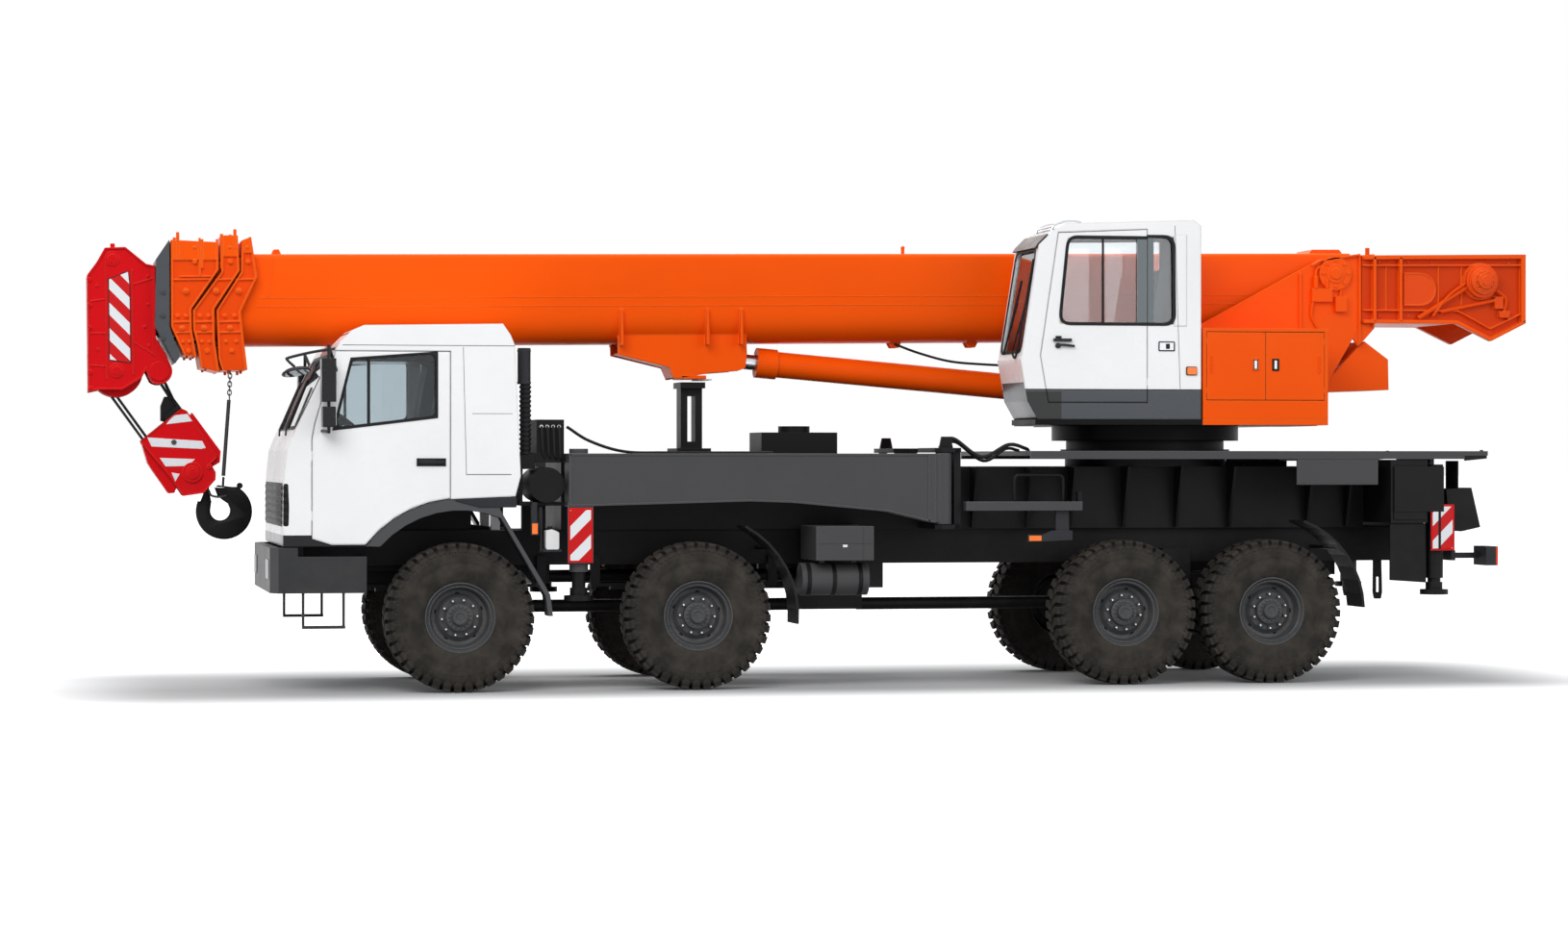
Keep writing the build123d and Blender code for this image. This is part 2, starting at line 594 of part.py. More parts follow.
def rear_beam(side):
    """A rear outrigger beam with the jack tube on its outer end; side is -1 left, 1 right."""
    middle = sum(REAR_BOX_Z) / 2 + side * 130
    half = REAR_BEAM_HALF_HEIGHT - RUNNING_GAP
    x_low, x_high = REAR_BOX_X[0] + 25 + RUNNING_GAP, REAR_BOX_X[1] - 25 - RUNNING_GAP
    y_outer, y_inner = side * 1240, side * -1090
    body = block((x_low, x_high), sorted((y_outer, y_inner)), (middle - half, middle + half))
    end = sorted((side * 1237, side * 1250))
    body += block((x_low, REAR_JACK_X), end, (1500, 1900))
    lip = sorted((side * (REAR_JACK_Y + 90), side * 1250))
    body += block((REAR_BOX_X[1] + MOVING_GAP, REAR_JACK_X), lip, (1500, 1900))
    body += bar((REAR_JACK_X, side * REAR_JACK_Y, 911), (REAR_JACK_X, side * REAR_JACK_Y, 1918),
                JACK_TUBE_RADIUS)
    link = sorted((side * REAR_JACK_Y, side * 1250))
    body += block((REAR_JACK_X - 40, REAR_JACK_X + 40), link, (1500, 1900))
    plate = sorted((side * 1220, side * 1245))
    body += block((5252, 5477), plate, (1153, 1567))
    body += block((REAR_JACK_X - 12, REAR_JACK_X + 12), link, (1170, 1500))
    body -= bar((REAR_JACK_X, side * REAR_JACK_Y, 800), (REAR_JACK_X, side * REAR_JACK_Y, 1880),
                JACK_ROD_RADIUS + RUNNING_GAP)
    return body


# Wheels
def knuckle(x, side):
    """The steering swivel with its kingpin boss and stub."""
    z = TYRE_RADIUS
    y = side * KINGPIN_Y
    boss = bar((x, y, z - 119), (x, y, z + 119), 62)
    stub = bar((x, y, z), (x, side * (HUB_FACE_Y - RUNNING_GAP), z), 60)
    return joined([boss, stub]) - bar((x, y, z - 160), (x, y, z + 160), KINGPIN_RADIUS + RUNNING_GAP)


def wheel(x, side):
    """A tyre and its deep steel rim, as two solids on one hub."""
    inner_face = OVERALL_HALF_WIDTH - TYRE_WIDTH
    points = []
    # Columns: distance out from the tyre's inner face, radius
    tread = [(45, RIM_SEAT_RADIUS), (0, 420), (20, 560), (70, TYRE_RADIUS),
             (TYRE_WIDTH - 70, TYRE_RADIUS), (TYRE_WIDTH - 20, 560), (TYRE_WIDTH, 420),
             (TYRE_WIDTH - 45, RIM_SEAT_RADIUS)]
    for out, radius in tread:
        points.append((inner_face + out, radius))
    tyre = turned(points, x, side)
    seat = RIM_SEAT_RADIUS - RUNNING_GAP
    rim = turned([(870, seat), (870, seat - 30), (1100, seat - 50), (1100, 66), (1190, 66), (1190, 0),
                  (HUB_FACE_Y, 0), (HUB_FACE_Y, 175), (HUB_FACE_Y, seat - 62), (1120, seat - 30), (1205, seat - 18),
                  (1205, seat)], x, side)
    return [tyre, rim]


def turned(points, x, side):
    """A ring turned about a wheel's axis, from pairs of distance from the centre plane and radius."""
    plane = Plane(origin=(x, 0, TYRE_RADIUS), x_dir=(0, side, 0), z_dir=(side, 0, 0))
    face = plane * make_face(Polyline(*points, close=True))
    return revolve(face, axis=Axis((x, 0, TYRE_RADIUS), (0, 1, 0)))


# Turntable
def turntable_frame():
    """Floor plate, upper race and the two tall side plates that carry the boom."""
    low, high = SLEW_RING_HIGH
    race = bar((SLEW_X, 0, low), (SLEW_X, 0, high), SLEW_RING_OUTER_RADIUS, 420)
    floor = block((1900, 4480), (-SIDE_PLATE_Y[1], SIDE_PLATE_Y[1]), TURNTABLE_FLOOR)
    floor_left = block((1640, 4299), (-1250, -SIDE_PLATE_Y[1]), TURNTABLE_FLOOR)
    floor_right = block((2300, 4299), (SIDE_PLATE_Y[1], 1250), TURNTABLE_FLOOR)
    outline = [(2100, TURNTABLE_FLOOR[1]), (2100, 2420), (3377, 3166), (4503, 3763), (4876, 3818),
               (4876, 3151), (4610, 2704), (4300, TURNTABLE_FLOOR[1])]
    plate = prism_side(outline, *SIDE_PLATE_Y)
    plate += across(PIVOT[0], PIVOT[1], SIDE_PLATE_Y[0] - 40, SIDE_PLATE_Y[1] + 40, 150)
    brace = block((4200, 4240), (-SIDE_PLATE_Y[0], SIDE_PLATE_Y[0]), (2311, 2700))
    toe = block((2150, 2190), (-SIDE_PLATE_Y[0], SIDE_PLATE_Y[0]), (2311, 2400))
    ears = []
    for y in (130, 190):
        ears += both(prism_side([(3480, 2311), (3720, 2311), (3690, 2560), (3510, 2560)],
                                y - 20 if y > 150 else y, y + 20 if y < 150 else y))
    pin = across(LUFF_BASE[0], LUFF_BASE[1], -200, 200, 50)
    body = joined([race, floor, floor_left, floor_right, *both(plate), brace, toe, *ears, pin])
    bore = across(PIVOT[0], PIVOT[1], -600, 600, PIVOT_PIN_RADIUS + RUNNING_GAP)
    return body - bore


def winch_frame():
    """The open tapering frame behind the boom that carries the winch."""
    outline = [(4800, 3191), (5776, 3191), (6112, 3035), (6447, 3200), (6447, 3826), (4800, 3800)]
    side = prism_side(outline, 450.3, 480)
    side -= prism_side([(5290, 3330), (5700, 3330), (5700, 3690), (5290, 3690)], 400, 500)
    rear = block((6400, 6447), (-450.3, 450.3), (3230, 3800))
    front = block((4990, 5020), (-450.3, 450.3), (3200, 3800))
    under = block((5030, 5760), (-450.3, 450.3), (3191, 3215))
    bearing = across(WINCH_CENTRE[0], WINCH_CENTRE[1], 400, 450.3, 110)
    body = joined([*both(side), rear, front, under, *both(bearing)])
    return body - across(WINCH_CENTRE[0], WINCH_CENTRE[1], -430, 430, 60.3)


def winch_drum():
    """The rope drum with its end flanges, the wound rope and its shaft."""
    x, z = WINCH_CENTRE
    drum = across(x, z, -300, 300, WINCH_DRUM_RADIUS)
    shaft = across(x, z, -420, 420, 60)
    flanges = [across(x, z, y, y + 20, 185) for y in (-320, 300)]
    return joined([drum, shaft, *flanges])


def counterweight():
    """The cast weight hung under the winch frame between the side plates."""
    outline = [(4400, 2564), (5173, 2591), (5167, 2867), (4944, 3029), (4900, 2990), (4617, 2704),
               (4400, 2690)]
    half = SIDE_PLATE_Y[0] - RUNNING_GAP
    return prism_side(outline, -half, half)


def machinery_housing():
    """The pump and tank housings on both sides of the turntable."""
    pieces = []
    outer = block((3154, 4299), (470, 1250), (2311.3, 3111))
    inner = block((3184, 4269), (500, 1211), (2490, 3081))
    shell = outer - inner
    right = outer
    left = shell - block((3184, 4269), (1200, 1260), (2478, 3081))
    for x in ((3180, 3190 - RUNNING_GAP), (4263 + RUNNING_GAP, 4273)):
        left = joined([left, *[block(x, (1235, 1250), (z, z + 50)) for z in (2540, 2970)]])
    left = mirrored(left)
    pieces = [left, right]
    return pieces


def machinery_door(x_low, x_high):
    leaf = block((x_low, x_high), (-1250, -1212), (2484, 3075))
    return leaf


# Operator's cab
OP_CAB_BOTTOM = TURNTABLE_FLOOR[1] + RUNNING_GAP
OP_OUTLINE = [(1912, 4007), (3071, 4050), (3135, 4000), (3135, OP_CAB_BOTTOM), (1660, OP_CAB_BOTTOM),
              (1571, 2467), (1508, 2833), (1521, 2868), (1672, 3821), (1800, 3945)]
OP_DOOR_OUTLINE = [(1760, 2460), (1690, 2860), (1850, 3925), (OP_DOOR_REAR_X, 3960),
                   (OP_DOOR_REAR_X, 2460)]
OP_DOOR_WINDOW = [(1857, 3139), (1935, 3880), (2560, 3900), (2560, 3139)]


OP_SIDE_WINDOW = [(1900, 3139), (1960, 3880), (2990, 3900), (2990, 3139)]


def op_windscreen_tool(grow):
    """The opening of the operator's windscreen, seen from the front."""
    middle = -sum(OP_CAB_Y) / 2
    low, high = 2900 - grow, 3780 + grow
    half = 340 + grow
    points = [(middle - half, low), (middle + half, low), (middle + half - 15, high),
              (middle - half + 15, high)]
    return prism_front(points, 1400, 1850)


def op_cab_solid(inset):
    low, high = OP_CAB_Y
    plane = Plane(origin=(0, high - inset, 0), x_dir=(1, 0, 0), z_dir=(0, -1, 0))
    face = plane * make_face(Polyline(*OP_OUTLINE, close=True))
    if inset:
        face = offset(face, amount=-inset, kind=Kind.INTERSECTION)
    return mirrored(extrude(face, amount=high - low - 2 * inset))


def operator_cab():
    """The hollow operator's cab with its screen, roof and side window openings."""
    wall = OP_CAB_WALL
    shell = op_cab_solid(0) - op_cab_solid(wall)
    middle = -sum(OP_CAB_Y) / 2
    shell -= op_windscreen_tool(0)
    shell -= grown(OP_DOOR_OUTLINE, MOVING_GAP, -1260, -OP_CAB_Y[1] + wall + RUNNING_GAP)
    hinge_x = (OP_DOOR_REAR_X + RUNNING_GAP, OP_DOOR_REAR_X + MOVING_GAP + 2)
    for z in (2600, 3700):
        shell += block(hinge_x, (-OP_CAB_Y[1], -OP_CAB_Y[1] + 15), (z, z + 70))
    inside = -OP_CAB_Y[0]
    shell -= grown(OP_SIDE_WINDOW, 0, inside - wall - 5, inside + 5)
    shell -= block((2700, 3000), (-1260, -1200), (3139, 3900))
    shell -= block((3080, 3200), (middle - 300, middle + 300), (3200, 3850))
    return shell


def operator_glass():
    """The fixed panes of the operator's cab."""
    middle = -sum(OP_CAB_Y) / 2
    skin = op_cab_solid(16) - op_cab_solid(16 + GLASS_THICK)
    front = op_windscreen_tool(-RUNNING_GAP) & skin
    gap = RUNNING_GAP
    right_y = -OP_CAB_Y[0] - OP_CAB_WALL / 2
    right = grown(OP_SIDE_WINDOW, -gap, right_y - GLASS_THICK / 2, right_y + GLASS_THICK / 2)
    left = block((2700 + gap, 3000 - gap), (-1234, -1226), (3139 + gap, 3900 - gap))
    rear = block((3107, 3115), (middle - 300 + gap, middle + 300 - gap), (3200 + gap, 3850 - gap))
    return [front, right, left, rear]


def operator_door():
    low = -OP_CAB_Y[1]
    leaf = prism_side(OP_DOOR_OUTLINE, low, low + OP_CAB_WALL)
    leaf -= prism_side(OP_DOOR_WINDOW, low - 1, low + 60)
    handle = block((1800, 1960), (low - 28, low), (2985, 3010))
    return joined([leaf, handle])


def operator_door_glass():
    low = -OP_CAB_Y[1] + 18
    return grown(OP_DOOR_WINDOW, -RUNNING_GAP, low, low + GLASS_THICK)


def operator_seat():
    """The operator's seat on its pedestal with both control consoles."""
    middle = -sum(OP_CAB_Y) / 2
    floor = OP_CAB_BOTTOM + OP_CAB_WALL + RUNNING_GAP
    foot = block((2350, 2750), (middle - 160, middle + 160), (floor, 2800))
    squab = block((2250, 2800), (middle - 240, middle + 240), (2800, 2920))
    back = prism_side([(2700, 2920), (2800, 2920), (2900, 3620), (2810, 3620)], middle - 230, middle + 230)
    arms = [block((2200, 2640), (middle + s * 290 - 50, middle + s * 290 + 50), (2760, 3060))
            for s in (-1, 1)]
    return joined([foot, squab, back, *arms])


# Boom
def tipped(shape):
    """Turn a level boom piece down by the droop about the boom pivot."""
    x, z = PIVOT
    return Pos(x, 0, z) * Rot(0, -BOOM_DROOP, 0) * Pos(-x, 0, -z) * shape


def tipped_point(x, z):
    """Where a point of the level boom lies once it is turned down by the droop."""
    point = tipped(Vertex(x, 0, z)).center()
    return point.X, point.Z


def tube_face(x, shrink):
    """One boom section's outline: flat top, straight sides and a rounded belly."""
    half = BOOM_WIDTH / 2 - shrink
    top, bottom = BOOM_TOP - shrink, BOOM_BOTTOM + shrink
    plane = Plane(origin=(x, 0, (top + bottom) / 2), x_dir=(0, 1, 0), z_dir=(1, 0, 0))
    sketch = Rectangle(2 * half, top - bottom)
    belly = sketch.vertices().sort_by(Axis.Y)[:2]
    sketch = fillet(belly, max(half - 60, 60))
    roof = sketch.vertices().sort_by(Axis.Y)[-2:]
    sketch = fillet(roof, 40)
    return plane * sketch


def boom_tube(x_low, x_high, step):
    outer = extrude(tube_face(x_low, step * SECTION_STEP), amount=x_high - x_low)
    inner = extrude(tube_face(x_low, step * SECTION_STEP + SECTION_WALL), amount=x_high - x_low)
    return outer - inner


def collar(points, step):
    """A heavy frame round the front end of a boom section."""
    frame = prism_side(points, -COLLAR_HALF_WIDTH, COLLAR_HALF_WIDTH)
    x_low = min(p[0] for p in points) - 10
    x_high = max(p[0] for p in points) + 10
    return frame - extrude(tube_face(x_low, step * SECTION_STEP), amount=x_high - x_low)


def wear_pads(x, step):
    """A ring of sliding pads that fills the gap to the next larger section."""
    outer = extrude(tube_face(x, (step - 1) * SECTION_STEP + SECTION_WALL + RUNNING_GAP), amount=160)
    return outer - extrude(tube_face(x, step * SECTION_STEP), amount=160)


# Level outlines of the collars in X and Z
BASE_COLLAR = [(-5010, 3900), (-4948, 3720), (-5120, 3360), (-5108, 3180), (-5070, 2830),
               (-5046, 2990), (-4960, 2965), (-4900, 3100), (-4900, 3860)]
COLLAR_2 = [(-5260, 3980), (-5030, 3975), (-5127, 3665), (-5345, 3315), (-5330, 3140),
            (-5300, 2815), (-5085, 2840), (-5122, 3180), (-5134, 3365), (-4962, 3715), (-5018, 3970)]


def luff_bracket():
    """The ribbed bracket under the base section that takes the luffing cylinder."""
    cheek = [(-1863, 3095), (-1858, 2950), (-1407, 2837), (-1363, 2733), (-1054, 2783),
             (-804, 2800), (-730, 2826), (-713, 2950), (-720, 3095)]
    plates = both(prism_side(cheek, 200, 240))
    ribs = []
    for x in (-1850, -1090, -790):
        rib = prism_front([(-350, 3025), (-350, 3345), (350, 3345), (350, 3025)], x, x + 24)
        ribs.append(rib)
    pad = block((-1300, -1080), (-240, 240), (2733, 2760))
    body = joined([*plates, *ribs, pad])
    return body - extrude(tube_face(-2000, 0), amount=1400)


def boom_base():
    """The fixed base section with its collar, bracket and pivot bosses."""
    tube = boom_tube(BOOM_FRONT_X, BOOM_REAR_X, 0)
    front = collar([(-5016, 3950), (-4954, 3955), (-4900, 3860), (-4900, 3000), (-4966, 2950),
                    (-5016, 2950)], 0)
    bosses = both(across(PIVOT[0], PIVOT[1], BOOM_WIDTH / 2 - 5, SIDE_PLATE_Y[0] - 40 - MOVING_GAP, 130))
    pin = across(PIVOT[0], PIVOT[1], -480, 480, PIVOT_PIN_RADIUS)
    body = joined([tube, front, luff_bracket(), *bosses])
    inside = extrude(tube_face(BOOM_FRONT_X, SECTION_WALL), amount=9000)
    return tipped(joined([body - inside, pin]))


def boom_section(step, x_front, x_rear, collar_x):
    """A sliding section with its collar and wear pads."""
    tube = boom_tube(x_front, x_rear, step)
    low, high = collar_x
    frame = collar([(low, 3940), (high, 3960), (high, 2880), (low, 2860)], step)
    pads = wear_pads(x_rear - 160, step)
    return tipped(joined([tube, frame, pads]))


def boom_head():
    """The innermost section with the red sheave head on its nose."""
    tube = boom_tube(-5840, 4050, 3)
    flange = collar([(-5840, 3930), (-5720, 3930), (-5720, 2880), (-5840, 2990)], 3)
    pads = wear_pads(3890, 3)
    cheek = [(-6415, 2650), (-6341, 2590), (-6200, 2570), (-5890, 2790), (-5760, 2850),
             (-5842, 3160), (-5842, 3730), (-5929, 3740), (-6089, 3872), (-6261, 3874),
             (-6360, 3745), (-6415, 3630)]
    cheeks = both(prism_side(cheek, 270, 300))
    middle = both(prism_side(cheek, 20, 40))
    back = block((-5870, -5842), (-300, 300), (3000, 3740))
    axles = [across(*place, -320, 320, 45) for place in (UPPER_AXLE, LOWER_AXLE)]
    sheaves = []
    for y in HEAD_SHEAVES_Y:
        for place in (UPPER_AXLE, LOWER_AXLE):
            sheaves.append(across(*place, y - 22, y + 22, HEAD_SHEAVE_RADIUS))
    return tipped(joined([tube, flange, pads, *cheeks, *middle, back, *axles, *sheaves]))


def hook_block():
    """The sheave block on its rope falls under the head, with its hook."""
    plates = both(prism_side([(-5650, 2400), (-5950, 2119), (-5660, 1760), (-5420, 1640),
                              (-5300, 1800), (-5283, 2030)], 150, 180))
    core = prism_side([(-5640, 2330), (-5880, 2110), (-5620, 1800), (-5420, 1720), (-5350, 1900),
                       (-5330, 2020)], -150, 150)
    neck = bar((-5420, 0, 1740), (-5247, 0, 1660), 45)
    x, z = HOOK_CENTRE
    bowl = across(x, z, -45, 45, 210, 105)
    mouth = prism_side([(x - 60, z + 40), (x - 30, z + 230), (x - 230, z + 230), (x - 230, z + 60)],
                       -60, 60)
    shank = bar((x, 0, z + 130), (x, 0, z + 260), 50)
    ropes = []
    axle_x, axle_z = tipped_point(*LOWER_AXLE)
    reach = HEAD_SHEAVE_RADIUS + ROPE_RADIUS + RUNNING_GAP
    sheave_x, sheave_z = BLOCK_SHEAVE
    fall = math.atan2(sheave_z - axle_z, sheave_x - axle_x)
    length = math.hypot(sheave_z - axle_z, sheave_x - axle_x)
    across_x, across_z = reach * math.sin(fall), -reach * math.cos(fall)
    sheave = across(sheave_x, sheave_z, -150, 150, HEAD_SHEAVE_RADIUS + 6)
    for side in (-1, 1):
        start = (axle_x + side * across_x, axle_z + side * across_z)
        end = (start[0] + length * math.cos(fall), start[1] + length * math.sin(fall))
        for y in HEAD_SHEAVES_Y[1:3]:
            ropes.append(bar((start[0], y, start[1]), (end[0], y, end[1]), ROPE_RADIUS))
    return joined([*plates, core, sheave, neck, bowl - mouth, shank, *ropes])


# Luffing cylinder
def luff_point(distance):
    """A point on the cylinder's centre line, measured from the rod's eye."""
    dx, dz = LUFF_BASE[0] - LUFF_EYE[0], LUFF_BASE[1] - LUFF_EYE[1]
    length = math.hypot(dx, dz)
    return (LUFF_EYE[0] + dx * distance / length, 0, LUFF_EYE[1] + dz * distance / length)


def luff_tube():
    """The cylinder's tube with its gland and base eye."""
    length = math.hypot(LUFF_BASE[0] - LUFF_EYE[0], LUFF_BASE[1] - LUFF_EYE[1])
    tube = bar(luff_point(230), luff_point(length - 60), LUFF_TUBE_RADIUS)
    gland = bar(luff_point(215), luff_point(400), LUFF_TUBE_RADIUS + 18)
    eye = across(LUFF_BASE[0], LUFF_BASE[1], -120, 120, 105)
    body = joined([tube, gland, eye])
    body -= bar(luff_point(100), luff_point(length - 300), LUFF_ROD_RADIUS + RUNNING_GAP)
    return body - across(LUFF_BASE[0], LUFF_BASE[1], -130, 130, 50 + RUNNING_GAP)


def luff_rod():
    """The polished rod with its eye and cross pin."""
    length = math.hypot(LUFF_BASE[0] - LUFF_EYE[0], LUFF_BASE[1] - LUFF_EYE[1])
    rod = bar(luff_point(60), luff_point(length - 320), LUFF_ROD_RADIUS)
    eye = across(LUFF_EYE[0], LUFF_EYE[1], -80, 80, 95)
    pin = across(LUFF_EYE[0], LUFF_EYE[1], -194, 194, 48)
    return joined([rod, eye, pin])


def build():
    os.makedirs("parts", exist_ok=True)
    save("chassis_frame", chassis_frame())
    save("crane_subframe", crane_subframe())
    save("deck", *deck())
    save("powertrain", *powertrain())
    save("front_axles", *front_axles())
    save("rear_axles", rear_axles())
    save("bumper", bumper())
    save("cab_shell", cab_shell())
    save("cab_glass", *cab_glass())
    save("cab_interior", *cab_interior())
    save("mudguards", *mudguards())
    save("side_tanks", *side_tanks())
    save("air_intake", air_intake())
    save("boom_rest", *boom_rest())
    save("slew_ring", slew_ring())
    save("lamps", *lamps())
    for name, side in (("left", -1), ("right", 1)):
        place = mirrored if side < 0 else (lambda shape: shape)
        save(f"door_{name}", place(truck_door()))
        save(f"door_glass_{name}", place(truck_door_glass()))
        save(f"swing_beam_{name}", place(swing_beam()))
        save(f"front_jack_{name}", place(jack(FRONT_JACK_X, FRONT_JACK_Y, 1900)))
        save(f"rear_beam_{name}", rear_beam(side))
        save(f"rear_jack_{name}", jack(REAR_JACK_X, side * REAR_JACK_Y, 1800))
        for number, x in enumerate(AXLES[:2], 1):
            save(f"knuckle_{number}_{name}", knuckle(x, side))
        for number, x in enumerate(AXLES, 1):
            save(f"wheel_{number}_{name}", *wheel(x, side))
    save("turntable_frame", turntable_frame())
    save("winch_frame", winch_frame())
    save("winch_drum", winch_drum())
    save("counterweight", counterweight())
    save("machinery_housing", *machinery_housing())
    save("machinery_door_front", machinery_door(3190, 3723))
    save("machinery_door_rear", machinery_door(3730, 4263))
    save("operator_cab", operator_cab())
    save("operator_glass", *operator_glass())
    save("operator_seat", operator_seat())
    save("operator_door", operator_door())
    save("operator_door_glass", operator_door_glass())
    save("luff_tube", luff_tube())
    save("luff_rod", luff_rod())
    save("boom_base", boom_base())
    save("boom_section_2", boom_section(1, -5264, 4300, (-5264, -5030)))
    save("boom_section_3", boom_section(2, -5460, 4180, (-5326, -5272)))
    save("boom_head", boom_head())
    save("hook_block", hook_block())


build()
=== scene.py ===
import bmesh
import bpy
import math
from mathutils import Matrix, Vector


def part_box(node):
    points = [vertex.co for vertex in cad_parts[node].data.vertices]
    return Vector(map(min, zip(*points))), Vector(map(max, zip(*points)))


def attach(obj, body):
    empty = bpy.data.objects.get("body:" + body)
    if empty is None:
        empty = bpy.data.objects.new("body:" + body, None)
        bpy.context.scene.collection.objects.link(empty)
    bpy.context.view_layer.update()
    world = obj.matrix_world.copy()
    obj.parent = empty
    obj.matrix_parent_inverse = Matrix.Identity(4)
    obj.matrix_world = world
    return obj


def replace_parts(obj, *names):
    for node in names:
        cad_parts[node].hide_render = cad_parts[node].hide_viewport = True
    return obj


# Mobile crane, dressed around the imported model. The front looks to -X, the left side is -Y.
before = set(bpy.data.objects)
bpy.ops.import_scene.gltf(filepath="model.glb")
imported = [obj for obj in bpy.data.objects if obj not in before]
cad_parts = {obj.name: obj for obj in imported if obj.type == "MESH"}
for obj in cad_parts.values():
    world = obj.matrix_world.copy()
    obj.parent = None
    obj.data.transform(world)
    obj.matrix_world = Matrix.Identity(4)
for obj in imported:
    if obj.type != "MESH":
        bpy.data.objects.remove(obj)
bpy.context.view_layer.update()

# Where the photograph was taken from
CAMERA_PLACE = (-6.847, -32.630, 1.96)
CAMERA_TURN = math.radians(11.3)
CAMERA_DIP = math.radians(0.066)
CAMERA_LENS = 86.1
SENSOR_WIDTH = 36.0

# Sizes shared by several pieces
TYRE_RADIUS = 630
TYRE_HALF_WIDTH = 212.5
RIM_RADIUS = 292
SIDES = (("left", -1), ("right", 1))
BODY_SIDE = 1250
# Where trim and gaskets start, just inside the painted side
TRIM_FACE = BODY_SIDE - 1
SEAL_FACE = BODY_SIDE - 1.5
BOOM_DROOP = math.radians(0.65)
BOOM_PIVOT = (4640, 3635)
BOOM_HALF_WIDTH = 310
BOOM_TOP = 3828
BOOM_BOTTOM = 3045
SECTION_STEP = 30
COLLAR_HALF_WIDTH = 400
COLLAR_WEB = 374
COLLAR_RIB = 18
# How many cuts round off a corner
CORNER_CUTS = 5

# Colours as linear red, green and blue
ORANGE = (0.97, 0.098, 0.002)
# Darker copies of the orange, painted shade on recessed webs and on the winch's cover
STRONG_SHADE_ORANGE = (0.66, 0.050, 0.002)
MILD_SHADE_ORANGE = (0.85, 0.072, 0.002)
RED = (0.68, 0.004, 0.008)
WHITE = (0.93, 0.93, 0.93)
STRIPE_WHITE = (0.80, 0.82, 0.84)
FRAME_GREY = (0.060, 0.060, 0.062)
FRAME_BLACK = (0.0065, 0.0065, 0.007)
PLASTIC = (0.022, 0.023, 0.026)
BLACK = (0.010, 0.010, 0.011)
LINING = (0.060, 0.075, 0.085)
BAND_GREY = (0.068, 0.074, 0.082)
RUBBER = (0.022, 0.020, 0.017)
AMBER = (0.90, 0.17, 0.01)
LIT_ORANGE = (1.0, 0.30, 0.06)


# Materials
class Nodes:
    """Short names for building a node tree."""

    def __init__(self, tree):
        self.tree = tree

    def node(self, kind, **settings):
        made = self.tree.nodes.new(kind)
        for key, value in settings.items():
            setattr(made, key, value)
        return made

    def link(self, source, target):
        self.tree.links.new(source, target)

    def math(self, operation, a, b=0.0, clamp=False):
        made = self.node("ShaderNodeMath", operation=operation, use_clamp=clamp)
        for socket, value in zip(made.inputs, (a, b)):
            if isinstance(value, (int, float)):
                socket.default_value = value
            else:
                self.link(value, socket)
        return made.outputs[0]

    def times(self, a, b, clamp=False):
        return self.math("MULTIPLY", a, b, clamp)

    def minus(self, a, b, clamp=False):
        return self.math("SUBTRACT", a, b, clamp)

    def direct_rays(self):
        """1 for rays from the camera, off gloss and through glass."""
        path = self.node("ShaderNodeLightPath").outputs
        total = path["Is Camera Ray"]
        for name in ("Is Glossy Ray", "Is Transmission Ray"):
            total = self.math("MAXIMUM", total, path[name])
        return total


